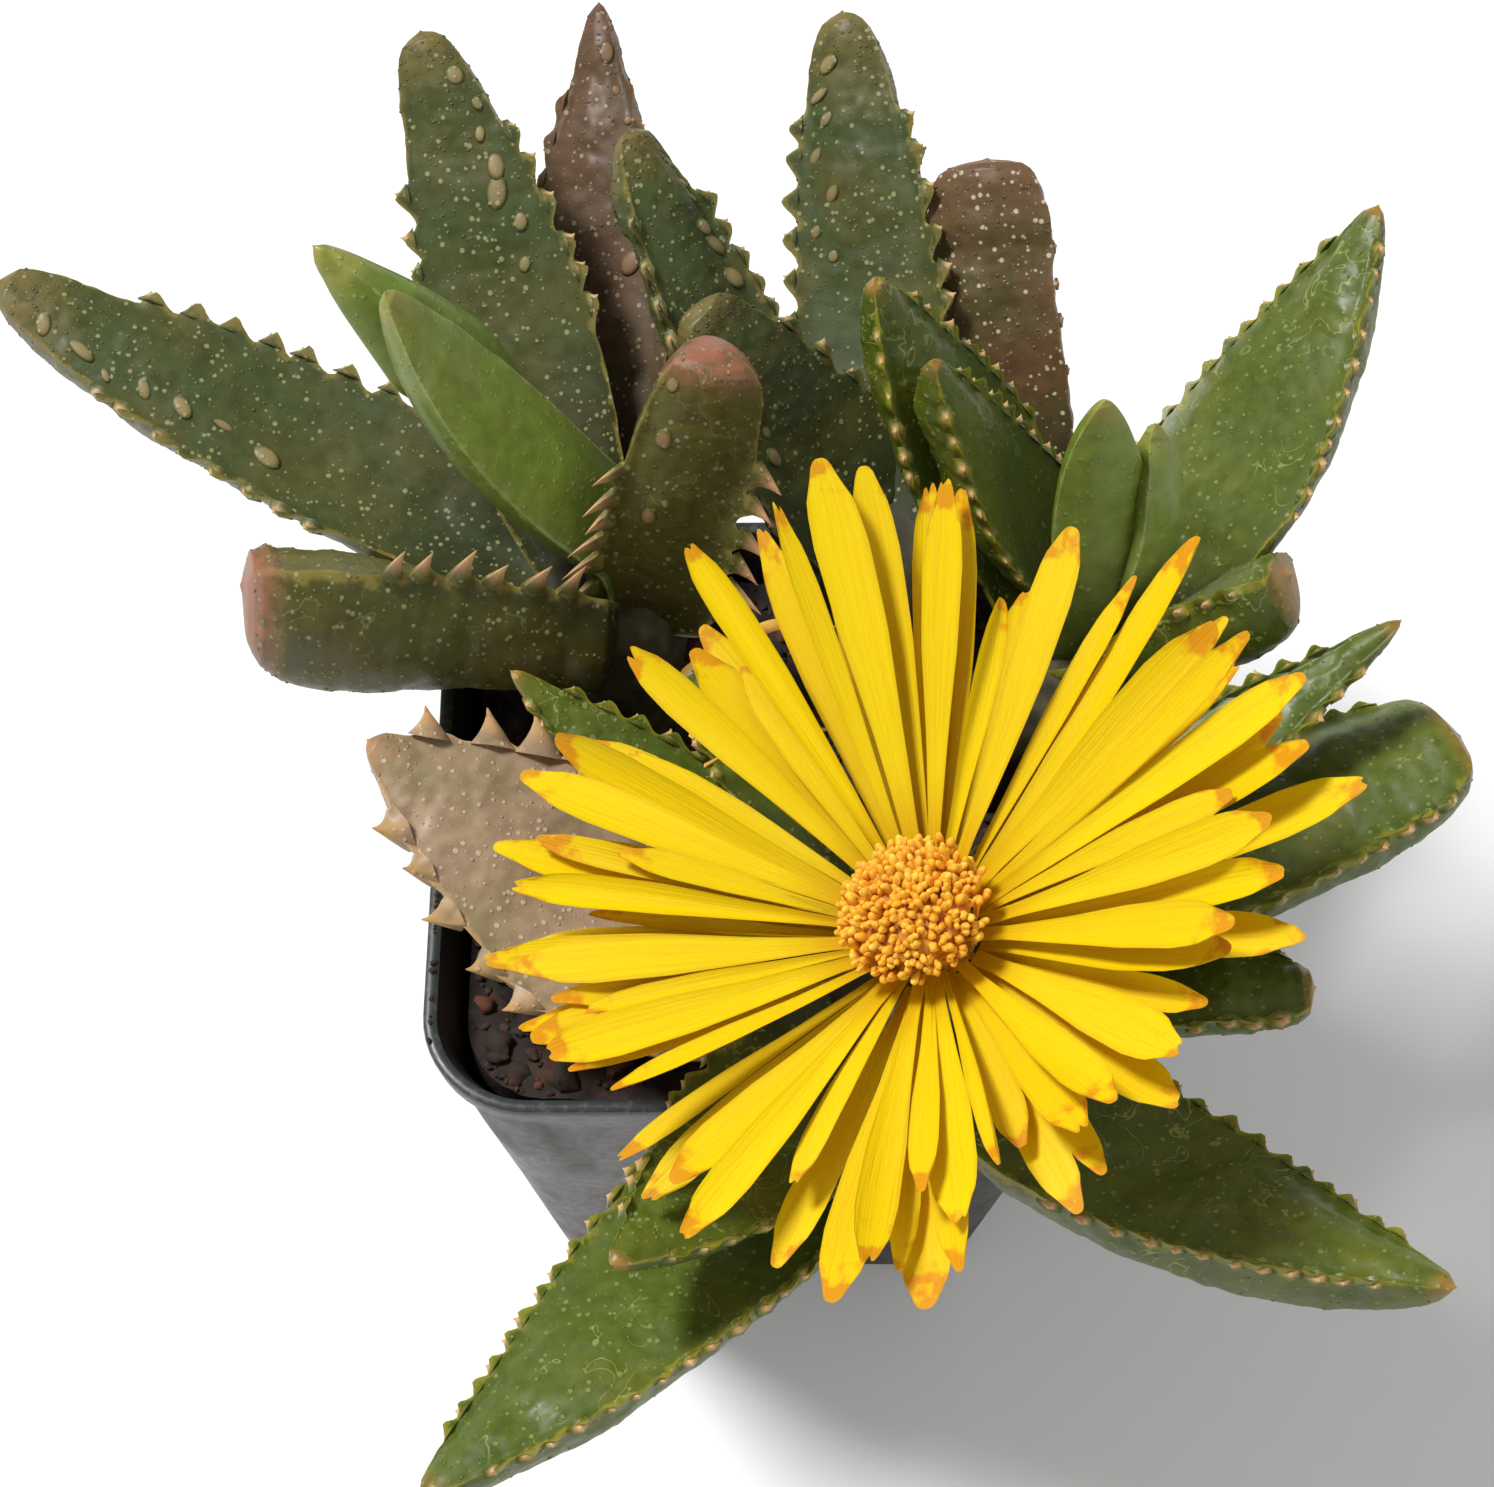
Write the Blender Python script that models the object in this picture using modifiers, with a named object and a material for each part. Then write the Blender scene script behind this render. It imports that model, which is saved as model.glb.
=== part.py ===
"""A tiger-jaw succulent in flower in a small square nursery pot.

The origin is the middle of the pot's flat underside, +Z is up, +X is to the right of someone who
looks along +Y at the pot's front. Sizes are in metres.
"""

import math
import random
from dataclasses import dataclass

import bmesh
import bpy
from mathutils import Matrix, Vector, noise

MM = 0.001

# Pot: a tapered square with round corners, its thin wall stepped out into a rim band.
RIM_WIDTH = 48 * MM
BASE_WIDTH = 33 * MM
POT_HEIGHT = 47 * MM
POT_WALL = 0.8 * MM
RIM_CORNER = 7.5 * MM
BASE_CORNER = 4.5 * MM
RIM_BAND_HEIGHT = 2.2 * MM
RIM_BAND_STEP = 0.7 * MM
BASE_ROUNDING = 1 * MM
DRAIN_HOLE_RADIUS = 2.5 * MM
DRAIN_HOLE_FROM_EDGE = 6.5 * MM
DRAIN_CUTTER_DEPTH = 6 * POT_WALL

# Soil, and the clearance that every piece keeps to its neighbours.
SOIL_BELOW_RIM = 5 * MM
SOIL_LUMP = 1.2 * MM
SOIL_LUMP_SPACING = 6 * MM
SOIL_RING_SHARES = (0.96, 0.72, 0.46, 0.2)
CLEARANCE = 0.3 * MM
LEAF_CLEARANCE = 1.15 * CLEARANCE
STALK_CLEARANCE = 1.5 * CLEARANCE

# Plant.
STEM_RADIUS = 3.4 * MM
CROWN_RADIUS = 5.5 * MM
TUBE_SIDES = 10
STALK_RADIUS = 1.9 * MM
STEM_IN_SOIL = 7 * MM
LEAF_START = 1.6 * MM
LEAF_FACE_RISE = 0.12
LEAF_FLANK_WIDTH = 0.66
LEAF_FLANK_DEPTH = 0.62

# Flower.
CUP_RADIUS = 4.6 * MM
CUP_DEPTH = 8.5 * MM
SEPAL_COUNT = 5
SEPAL_LENGTH = 4 * MM
SEPAL_TAPER = 0.6
RING_INNER_RADIUS = 3.3 * MM
RING_OUTER_RADIUS = 4.5 * MM
PETAL_THICKNESS = 0.35 * MM
PETAL_WIDTH = 3.3 * MM
PETAL_BASE_WIDTH = 0.8 * MM
WHORL_STEP = 0.8 * MM
WHORL_LIFT_STEP = 4.5
STAMEN_RADIUS = 4.7 * MM
STAMEN_HEIGHT = 7 * MM
STAMEN_STEPS = 16
# Stations up the calyx as (share of its depth, share of its radius).
CUP_STATIONS = ((0, 0.5), (0.5, 0.95), (0.8, 1.0), (1, 0.95))
# Stations down the brush of stamens as (share of its radius, share of its height), to its neck.
STAMEN_STATIONS = ((0, 1.0), (0.55, 0.98), (0.85, 0.9), (1.0, 0.75))
STAMEN_NECK_HEIGHT = 0.38
WILTED_RADIUS = 0.35 * MM
WILTED_STEPS = 10


@dataclass(frozen=True)
class Crown:
    """One rosette's stem: where it leaves the soil, and where its top is above the rim."""

    name: str
    foot: tuple
    top: tuple


@dataclass(frozen=True)
class Leaf:
    """One leaf, from its rosette's crown. Lengths are in millimetres and angles in degrees."""

    name: str
    crown: str
    start: tuple
    azimuth: float
    elevation: float
    length: float
    width: float
    depth: float
    form: str
    roll: float = 0.0


@dataclass(frozen=True)
class Fan:
    """A group of petals side by side: first and last azimuth, number, lengths and lift."""

    first: float
    last: float
    count: int
    first_length: float
    last_length: float
    lift: float


CROWNS = (
    Crown("left", (-9, 8), (-12, 14, 8)),
    Crown("back", (4, 12), (9, 19, 6)),
    Crown("right", (13, 3), (22, 8, 9)),
    Crown("front", (6, -11), (9, -17, 5)),
)

# Stations up a stem as (share of length, radius): it tapers in the soil and swells into the crown.
STEM_STATIONS = (
    (0, 0.6 * STEM_RADIUS),
    (0.3, 0.8 * STEM_RADIUS),
    (0.6, STEM_RADIUS),
    (0.84, CROWN_RADIUS),
    (0.95, 0.97 * CROWN_RADIUS),
    (1, 0.73 * CROWN_RADIUS),
)

# Stations along a leaf: shares of its length, and at each the shares of its width and depth.
LEAF_STATIONS = (0, 0.2, 0.45, 0.7, 0.9, 1)
LEAF_FORMS = {
    "pointed": ((0.72, 1, 0.84, 0.52, 0.22, 0.07), (0.6, 0.85, 1, 0.95, 0.6, 0.2)),
    "long": ((0.85, 1, 0.9, 0.68, 0.46, 0.24), (0.6, 0.85, 1, 0.95, 0.8, 0.4)),
    "blunt": ((0.75, 0.95, 1, 0.95, 0.85, 0.55), (0.6, 0.85, 0.95, 1, 0.95, 0.7)),
    "young": ((0.8, 0.97, 0.97, 0.76, 0.36, 0.08), (0.8, 0.98, 1, 0.86, 0.5, 0.15)),
}

# Leaves from first to last. Each gives way to those before it.
LEAVES = (
    Leaf("bud_left_near", "left", (3, 1, 2), 166, 56, 28, 12, 7, "young"),
    Leaf("bud_left_far", "left", (-2, 4, 2), 163, 54, 28, 11, 6, "young", 180),
    Leaf("leaf_left_jaw_low", "left", (2, 2, 0.5), 186, 12, 26, 18, 12.5, "blunt", 55),
    Leaf("leaf_left_jaw_high", "left", (3, -7.5, -2), 62, 62, 24, 11, 9, "blunt", 30),
    Leaf("leaf_left_back", "left", (-3, 6, 1), 110, 30, 33.5, 15, 8, "long", -20),
    Leaf("leaf_left_far", "left", (-4, 4, -2), 157, 13, 43, 16, 10, "long"),
    Leaf("leaf_left_brown", "left", (-2, 7.5, -2), 88, 25, 36, 17, 7, "pointed", -20),
    Leaf("bud_right_near", "right", (1, -1, 3), 106, 76, 19, 9, 5, "young"),
    Leaf("bud_right_far", "right", (4, 1, 2), 98, 72, 15, 8, 4, "young", 180),
    Leaf("leaf_right_inner", "right", (1, 4, 0), 162, 60, 24, 13, 6, "pointed"),
    Leaf("leaf_right_second", "right", (-3, 6.5, 0.5), 148, 58, 25, 16, 6, "pointed"),
    Leaf("leaf_back_curved", "back", (1, -1, -1), 148, 46, 23, 17, 8, "long"),
    Leaf("leaf_back_tall", "back", (-1, 3.5, 1), 96, 28, 33.5, 15, 8, "long", -25),
    Leaf("leaf_back_brown", "back", (6.5, 1.5, 2.5), 91, 30, 23, 13, 8, "blunt", -15),
    Leaf("leaf_right_side", "right", (-2, 2, -1), 0, 35, 16, 12, 8, "blunt", -50),
    Leaf("leaf_right_big", "right", (3, 3, 0), 55, 24, 32, 21, 8, "pointed", -30),
    Leaf("leaf_back_short", "back", (-6.5, 3.5, 1), 120, 32, 27, 13, 7, "long", 20),
    Leaf("leaf_front_small", "front", (-4, 5, 0), 147, 18, 27, 11, 5, "pointed"),
    Leaf("leaf_front_tiny", "front", (-3, 6, 0), 125, 24, 19, 9, 5, "blunt"),
    Leaf("leaf_front_upper_left", "front", (-3, -4, 0), -130, 20, 25, 17, 6, "pointed"),
    Leaf("leaf_front_upper_right", "front", (4, 5, 1), 29, 20, 34, 11, 6, "pointed"),
    Leaf("leaf_front_right", "front", (4, 3, 0), 24, 9, 36, 17, 9, "blunt", -20),
    Leaf("leaf_front_low_right", "front", (3, -5, -1), -31, 12, 35, 19, 9, "pointed", -20),
    Leaf("leaf_front_low_left", "front", (-3, -5, -2), -133, 4, 40, 21, 8, "pointed", 20),
    Leaf("leaf_front_old", "front", (-11, 2.5, -2.5), 150, 12, 29, 26, 10, "pointed"),
    Leaf("leaf_front_dark", "front", (5, 1, 0), -3, 4, 21, 9, 6, "blunt"),
)

FLOWER_AXIS = (-0.32, -0.06, 0.94)
FLOWER_FOOT = (13, -19, 9)
FANS = (
    Fan(-26, 4, 7, 24, 30, 16),
    Fan(10, 42, 7, 30, 31, 16),
    Fan(58, 66, 2, 30, 26, 16),
    Fan(75, 98, 6, 33, 34, 18),
    Fan(108, 131, 5, 32, 27, 18),
    Fan(145, 202, 12, 30, 28, 16),
    Fan(221, 247, 4, 28, 27, 14),
    Fan(258, 279, 5, 27, 26, 14),
    Fan(293, 324, 5, 24, 24, 14),
)
# Each dry thread's start, arch and end, in millimetres from the pot's axis and above its rim.
WILTED_ARCS = (
    ((-5.5, -3, 13), (-3, 4, 25), (7.5, 4.5, 14)),
    ((-4.5, -4.5, 13), (0.5, -3.5, 17), (5.5, -1.5, 13)),
    ((-1, 0, 16), (0.5, -2, 14), (1.5, -6, 10)),
)
# Stations along a petal as (share of length, share of full width).
PETAL_STATIONS = ((0.3, 0.62), (0.55, 0.95), (0.78, 1.0), (0.93, 0.7), (1.0, 0.3))


def clear_scene():
    """Removes every object that the scene holds."""
    for old in list(bpy.data.objects):
        bpy.data.objects.remove(old, do_unlink=True)


def make_collection(name):
    """A new collection in the scene."""
    made = bpy.data.collections.new(name)
    bpy.context.scene.collection.children.link(made)
    return made


def material(name, colour, roughness):
    """The named Principled material, made the first time it is asked for."""
    found = bpy.data.materials.get(name)
    if found:
        return found
    made = bpy.data.materials.new(name)
    made.use_nodes = True
    shader = made.node_tree.nodes["Principled BSDF"]
    shader.inputs["Base Color"].default_value = (*colour, 1)
    shader.inputs["Roughness"].default_value = roughness
    shader.inputs["Metallic"].default_value = 0.0
    made.diffuse_color = (*colour, 1)
    return made


POT_PLASTIC = ("pot_plastic", (0.055, 0.052, 0.05), 0.5)
SOIL_MIX = ("soil_mix", (0.06, 0.035, 0.02), 0.95)
GREEN_LEAF = ("green_leaf", (0.16, 0.24, 0.05), 0.4)
OLD_LEAF = ("old_leaf", (0.2, 0.17, 0.1), 0.55)
YOUNG_LEAF = ("young_leaf", (0.2, 0.33, 0.08), 0.4)
PETAL_YELLOW = ("petal", (0.95, 0.68, 0.02), 0.45)
STEM_FINISH = ("stem", (0.2, 0.17, 0.08), 0.7)
WILTED = ("wilted", (0.8, 0.45, 0.08), 0.7)
STAMEN_GOLD = ("stamen", (0.9, 0.45, 0.02), 0.7)


def put(mesh, name, home, finish, matrix=None):
    """An object in a collection, with its finish and place."""
    obj = bpy.data.objects.new(name, mesh)
    home.objects.link(obj)
    obj.data.materials.append(material(*finish))
    if matrix is not None:
        obj.location = matrix.to_translation()
        obj.rotation_euler = matrix.to_euler()
    return obj


def mesh_from(shape, name):
    """A mesh made of a bmesh, smooth but for its sharp edges."""
    bmesh.ops.recalc_face_normals(shape, faces=shape.faces)
    mesh = bpy.data.meshes.new(name)
    shape.to_mesh(mesh)
    shape.free()
    mesh.shade_smooth()
    mesh.set_sharp_from_angle(angle=math.radians(40))
    return mesh


def cut(obj, cutter, name="cut"):
    """Takes a cutter's shape out of an object."""
    boolean = obj.modifiers.new(name, "BOOLEAN")
    boolean.operation = "DIFFERENCE"
    boolean.object = cutter


def smooth(obj):
    """Rounds a coarse cage once."""
    subdivision = obj.modifiers.new("round", "SUBSURF")
    subdivision.levels = 1
    subdivision.render_levels = 1


def as_cutter(obj):
    """Marks an object as a cutter, which isn't part of the model."""
    obj.hide_render = True
    obj.display_type = "WIRE"


def loft(rings, cap_first=True, cap_last=True):
    """A bmesh skinned over rings of equally many points, with its ends capped."""
    shape = bmesh.new()
    rows = [[shape.verts.new(point) for point in ring] for ring in rings]
    count = len(rows[0])
    for lower, upper in zip(rows, rows[1:]):
        for index in range(count):
            after = (index + 1) % count
            shape.faces.new((lower[index], lower[after], upper[after], upper[index]))
    if cap_first:
        shape.faces.new(reversed(rows[0]))
    if cap_last:
        shape.faces.new(rows[-1])
    return shape


def square_ring(height, width, corner, steps=4):
    """Points of a level square with round corners, anticlockwise seen from above."""
    middle = width / 2 - corner
    points = []
    for turn in range(4):
        quarter = turn * math.pi / 2
        centre_x = middle if turn in (0, 3) else -middle
        centre_y = middle if turn in (0, 1) else -middle
        for step in range(steps + 1):
            angle = quarter + step / steps * math.pi / 2
            x = centre_x + corner * math.cos(angle)
            y = centre_y + corner * math.sin(angle)
            points.append(Vector((x, y, height)))
    return points


def wall_at(height):
    """Outer width and corner radius of the pot's tapered wall at a height."""
    share = height / POT_HEIGHT
    wall_top_width = RIM_WIDTH - 2 * RIM_BAND_STEP
    width = BASE_WIDTH + share * (wall_top_width - BASE_WIDTH)
    corner = BASE_CORNER + share * (RIM_CORNER - RIM_BAND_STEP - BASE_CORNER)
    return width, corner


def pot_shape(grow=0.0):
    """The pot's outer skin, open at the top, as a bmesh."""
    band_bottom = POT_HEIGHT - RIM_BAND_HEIGHT - grow
    foot = BASE_ROUNDING
    foot_width, foot_corner = wall_at(foot)
    rings = [square_ring(-grow, foot_width - 2 * foot + 2 * grow, foot_corner - foot / 2 + grow)]
    for height in (foot, POT_HEIGHT / 2, band_bottom - RIM_BAND_STEP):
        width, corner = wall_at(height)
        rings.append(square_ring(height, width + 2 * grow, corner + grow))
    for height in (band_bottom, POT_HEIGHT + grow):
        rings.append(square_ring(height, RIM_WIDTH + 2 * grow, RIM_CORNER + grow))
    return loft(rings, cap_last=False)


def give_wall(obj, thickness):
    """Thickens an open skin inwards."""
    wall = obj.modifiers.new("wall", "SOLIDIFY")
    wall.thickness = thickness
    wall.offset = -1
    wall.use_even_offset = True


def make_pot(home, cutters):
    """The pot with its drain holes, and its grown shape, which the leaves give way to."""
    pot = put(mesh_from(pot_shape(), "pot"), "pot", home, POT_PLASTIC)
    give_wall(pot, POT_WALL)
    from_middle = BASE_WIDTH / 2 - DRAIN_HOLE_FROM_EDGE
    for index, (x, y) in enumerate(((1, 1), (-1, 1), (-1, -1), (1, -1))):
        hole = bmesh.new()
        bmesh.ops.create_cone(
            hole,
            cap_ends=True,
            segments=12,
            radius1=DRAIN_HOLE_RADIUS,
            radius2=DRAIN_HOLE_RADIUS,
            depth=DRAIN_CUTTER_DEPTH,
            matrix=Matrix.Translation((x * from_middle, y * from_middle, 0)),
        )
        cutter = put(mesh_from(hole, "drain"), f"drain_{index + 1}", cutters, POT_PLASTIC)
        as_cutter(cutter)
        cut(pot, cutter, f"drain_{index + 1}")
    grown = put(mesh_from(pot_shape(CLEARANCE), "pot"), "pot_clearance", cutters, POT_PLASTIC)
    give_wall(grown, POT_WALL + 2 * CLEARANCE)
    as_cutter(grown)
    return grown


def soil_top():
    """Mean height of the soil."""
    return POT_HEIGHT - SOIL_BELOW_RIM


def make_soil(home):
    """The block of soil: the pot's inside less a clearance, with a lumpy top."""
    bottom = POT_WALL + CLEARANCE
    inset = 2 * (POT_WALL + CLEARANCE)
    rings = []
    for height in (bottom, POT_HEIGHT / 2, soil_top() - SOIL_LUMP):
        width, corner = wall_at(height)
        rings.append(square_ring(height, width - inset, corner))
    width, corner = wall_at(bottom)
    rings[0] = square_ring(bottom, width - inset - 2 * POT_WALL, corner)
    for share in SOIL_RING_SHARES:
        width, corner = wall_at(soil_top())
        ring = square_ring(soil_top(), share * (width - inset), share * corner)
        for point in ring:
            point.z += SOIL_LUMP * noise.noise(point / SOIL_LUMP_SPACING)
        rings.append(ring)
    return put(mesh_from(loft(rings), "soil"), "soil", home, SOIL_MIX)


def crown_point(crown, offset=(0, 0, 0)):
    """A point in metres from a crown's top, by an offset in millimetres."""
    x, y, above_rim = crown.top
    return Vector(((x + offset[0]) * MM, (y + offset[1]) * MM, POT_HEIGHT + (above_rim + offset[2]) * MM))


def tube_shape(middles, radii):
    """A round tube lofted through level rings, as a bmesh."""
    rings = []
    for middle, radius in zip(middles, radii):
        rings.append([middle + point for point in round_ring(0, radius, TUBE_SIDES)])
    return loft(rings)


def stem_shape(crown, grow=0.0):
    """A stem that leans out of the soil and swells into its crown, as a bmesh."""
    top = crown_point(crown)
    foot = Vector((crown.foot[0] * MM, crown.foot[1] * MM, soil_top() - STEM_IN_SOIL - grow))
    elbow = Vector((crown.foot[0] * MM, crown.foot[1] * MM, soil_top()))
    middles = []
    radii = []
    for share, radius in STEM_STATIONS:
        middles.append(foot.lerp(elbow, share).lerp(elbow.lerp(top, share), share))
        radii.append(radius + grow)
    middles[-1].z += grow
    return tube_shape(middles, radii)


def make_stalk(home):
    """The flower's short stalk, from the front crown's top to the calyx."""
    crowns = {crown.name: crown for crown in CROWNS}
    lift = Vector((0, 0, STALK_CLEARANCE))
    low = crown_point(crowns["front"]) + lift
    high = flower_matrix() @ Vector((0, 0, -CUP_DEPTH)) - 2 * lift
    middles = [low, low.lerp(high, 0.5), high]
    stalk = mesh_from(tube_shape(middles, [STALK_RADIUS] * 3), "stalk")
    return put(stalk, "flower_stalk", home, STEM_FINISH)


def leaf_matrix(leaf, crown):
    """A leaf's place: its own +Y runs to the tip, and +Z out of its upper face."""
    azimuth = math.radians(leaf.azimuth)
    elevation = math.radians(leaf.elevation)
    turn = Matrix.Rotation(azimuth - math.pi / 2, 4, "Z")
    lift = Matrix.Rotation(elevation, 4, "X")
    roll = Matrix.Rotation(math.radians(leaf.roll), 4, "Y")
    along = turn @ lift @ roll
    start = crown_point(crown, leaf.start) + along @ Vector((0, LEAF_START, 0))
    return Matrix.Translation(start) @ along


def leaf_ring(leaf, station, grow):
    """Six points around a leaf at a station: margins, face, flanks and keel."""
    share, width_share, depth_share = station
    half = width_share * leaf.width * MM / 2 + grow
    depth = depth_share * leaf.depth * MM + grow
    rise = LEAF_FACE_RISE * depth_share * leaf.depth * MM + grow
    along = share * leaf.length * MM
    if share == LEAF_STATIONS[0]:
        along -= grow
    if share == LEAF_STATIONS[-1]:
        along += grow
    flank = LEAF_FLANK_WIDTH * half
    low = -LEAF_FLANK_DEPTH * depth
    outline = ((half, 0), (0, rise), (-half, 0), (-flank, low), (0, -depth), (flank, low))
    return [Vector((x, along, z)) for x, z in outline]


def leaf_shape(leaf, grow=0.0):
    """A leaf's coarse cage: a thick keeled blade."""
    widths, depths = LEAF_FORMS[leaf.form]
    return loft([leaf_ring(leaf, station, grow) for station in zip(LEAF_STATIONS, widths, depths)])


def boxes_meet(first, second):
    """Whether two lists of points have overlapping boxes."""
    for axis in range(3):
        lowest = max(min(p[axis] for p in first), min(p[axis] for p in second))
        highest = min(max(p[axis] for p in first), max(p[axis] for p in second))
        if lowest > highest:
            return False
    return True


def world_points(obj):
    """An object's cage points in the world."""
    place = Matrix.LocRotScale(obj.location, obj.rotation_euler, obj.scale)
    return [place @ vert.co for vert in obj.data.vertices]


def leaf_finish(leaf):
    """Young, old and grown leaves each have their own colour."""
    if leaf.form == "young":
        return YOUNG_LEAF
    if "old" in leaf.name or "brown" in leaf.name:
        return OLD_LEAF
    return GREEN_LEAF


def make_plant(pot, soil, home, cutters):
    """Stems and leaves. Each piece gives way to the ones made before it, and the soil to them all."""
    crowns = {crown.name: crown for crown in CROWNS}
    made = [pot]
    for crown in CROWNS:
        shapes = [stem_shape(crown, grow) for grow in (0.0, CLEARANCE)]
        grown = make_piece(f"stem_{crown.name}", shapes, STEM_FINISH, None, [], home, cutters, False)
        cut(soil, grown, f"socket_{crown.name}")
        made.append(grown)
    for leaf in LEAVES:
        place = leaf_matrix(leaf, crowns[leaf.crown])
        shapes = [leaf_shape(leaf, grow) for grow in (0.0, LEAF_CLEARANCE)]
        grown = make_piece(leaf.name, shapes, leaf_finish(leaf), place, made, home, cutters, True)
        if boxes_meet(world_points(grown), world_points(soil)):
            cut(soil, grown, f"rest_{leaf.name}")
        made.append(grown)


def make_piece(name, shapes, finish, place, others, home, cutters, rounded):
    """One piece, less the grown shapes of the others, and its own grown shape as a cutter."""
    piece = put(mesh_from(shapes[0], name), name, home, finish, place)
    grown = put(mesh_from(shapes[1], name), f"{name}_clearance", cutters, finish, place)
    as_cutter(grown)
    if rounded:
        smooth(piece)
        smooth(grown)
    for other in others:
        if boxes_meet(world_points(grown), world_points(other)):
            cut(piece, other, f"clear_{other.name}")
    return grown


def flower_matrix():
    """The flower's place: its own +Z is its axis, with the petal ring's underside at zero."""
    axis = Vector(FLOWER_AXIS).normalized()
    up = Vector((0, 1, 0))
    across = up.cross(axis).normalized()
    forward = axis.cross(across)
    turn = Matrix((across, forward, axis)).transposed().to_4x4()
    x, y, above_rim = FLOWER_FOOT
    foot = Vector((x * MM, y * MM, POT_HEIGHT + above_rim * MM))
    top = foot + axis * CUP_DEPTH
    return Matrix.Translation(top) @ turn


def make_calyx(home, place):
    """The fleshy cup under the petals, with five blunt lobes."""
    rings = []
    for share, radius in CUP_STATIONS:
        height = share * (CUP_DEPTH - CLEARANCE) - CUP_DEPTH
        rings.append(round_ring(height, radius * CUP_RADIUS, 2 * SEPAL_COUNT))
    shape = loft(rings)
    shape.faces.ensure_lookup_table()
    last_band = shape.faces[4 * SEPAL_COUNT : 6 * SEPAL_COUNT]
    for face in bmesh.ops.extrude_discrete_faces(shape, faces=last_band[::2])["faces"]:
        middle = face.calc_center_median()
        outwards = Vector((middle.x, middle.y, 0)).normalized()
        for vert in face.verts:
            vert.co = middle + SEPAL_TAPER * (vert.co - middle) + outwards * SEPAL_LENGTH
    calyx = put(mesh_from(shape, "calyx"), "calyx", home, GREEN_LEAF, place)
    smooth(calyx)
    return calyx


def round_ring(height, radius, count):
    """Points of a level circle, anticlockwise seen from above."""
    points = []
    for step in range(count):
        angle = step / count * 2 * math.pi
        points.append(Vector((radius * math.cos(angle), radius * math.sin(angle), height)))
    return points


def dealt_petals():
    """Every petal of every fan as (azimuth, length, lift), in order around the flower."""
    chance = random.Random(7)
    petals = []
    for fan in FANS:
        for index in range(fan.count):
            share = index / max(fan.count - 1, 1)
            azimuth = fan.first + share * (fan.last - fan.first) + chance.uniform(-1, 1)
            length = fan.first_length + share * (fan.last_length - fan.first_length)
            petals.append((azimuth, length * chance.uniform(0.92, 1.04) * MM, fan.lift))
    return petals


def make_whorl(name, petals, level, home, place):
    """One ring with its petals: an open sheet given its thickness."""
    shape = bmesh.new()
    half_turn = math.degrees(PETAL_BASE_WIDTH / 2 / RING_OUTER_RADIUS)
    bmesh.ops.create_circle(shape, segments=2 * len(petals), radius=RING_OUTER_RADIUS)
    shape.verts.ensure_lookup_table()
    height = (0.5 + level) * WHORL_STEP
    for index, vert in enumerate(shape.verts):
        azimuth, _, _ = petals[index // 2]
        angle = math.radians(azimuth + (half_turn if index % 2 else -half_turn))
        vert.co = (RING_OUTER_RADIUS * math.cos(angle), RING_OUTER_RADIUS * math.sin(angle), height)
    rim = list(shape.edges)
    inner = bmesh.ops.extrude_edge_only(shape, edges=rim)["geom"]
    for vert in (item for item in inner if isinstance(item, bmesh.types.BMVert)):
        vert.co = vert.co * (RING_INNER_RADIUS / RING_OUTER_RADIUS)
        vert.co.z = height
    shape.verts.ensure_lookup_table()
    for index, (azimuth, length, lift) in enumerate(petals):
        shape.verts.ensure_lookup_table()
        edge = shape.edges.get((shape.verts[2 * index], shape.verts[2 * index + 1]))
        grow_petal(shape, edge, azimuth, length, lift + level * WHORL_LIFT_STEP, height)
    whorl = put(mesh_from(shape, name), name, home, PETAL_YELLOW, place)
    sheet = whorl.modifiers.new("thickness", "SOLIDIFY")
    sheet.thickness = PETAL_THICKNESS
    sheet.offset = 0
    return whorl


def grow_petal(shape, edge, azimuth, length, lift, height):
    """Extrudes a petal out from an edge of the ring, station by station."""
    outwards = Vector((math.cos(math.radians(azimuth)), math.sin(math.radians(azimuth)), 0))
    across = Vector((-outwards.y, outwards.x, 0))
    rise = math.tan(math.radians(lift))
    for share, width_share in PETAL_STATIONS:
        geom = bmesh.ops.extrude_edge_only(shape, edges=[edge])["geom"]
        edge = next(item for item in geom if isinstance(item, bmesh.types.BMEdge))
        reach = share * (length - RING_OUTER_RADIUS) * math.cos(math.radians(lift))
        middle = outwards * (RING_OUTER_RADIUS + reach) + Vector((0, 0, height + reach * rise))
        half = width_share * PETAL_WIDTH / 2
        for vert in edge.verts:
            side = 1 if (vert.co - outwards * vert.co.dot(outwards)).dot(across) > 0 else -1
            vert.co = middle + across * side * half


def make_stamens(home, place):
    """The brush of stamens as one turned dome, inside the rings."""
    profile = bmesh.new()
    neck = (RING_INNER_RADIUS - CLEARANCE) / STAMEN_RADIUS
    points = (*STAMEN_STATIONS, (neck, STAMEN_NECK_HEIGHT), (neck, 0.0), (0, 0.0))
    verts = [
        profile.verts.new((share * STAMEN_RADIUS, 0, CLEARANCE + height * STAMEN_HEIGHT))
        for share, height in points
    ]
    for first, second in zip(verts, verts[1:]):
        profile.edges.new((first, second))
    mesh = bpy.data.meshes.new("stamens")
    profile.to_mesh(mesh)
    profile.free()
    stamens = put(mesh, "stamens", home, STAMEN_GOLD, place)
    turned = stamens.modifiers.new("turned", "SCREW")
    turned.steps = STAMEN_STEPS
    turned.render_steps = STAMEN_STEPS
    turned.use_merge_vertices = True
    turned.merge_threshold = 0.00001
    return stamens


def make_flower(home):
    """Calyx, three whorls of petals and the stamens."""
    place = flower_matrix()
    make_calyx(home, place)
    petals = dealt_petals()
    for level, name in enumerate(("petals_lower", "petals_middle", "petals_upper")):
        make_whorl(name, petals[level::3], level, home, place)
    make_stamens(home, place)


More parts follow.
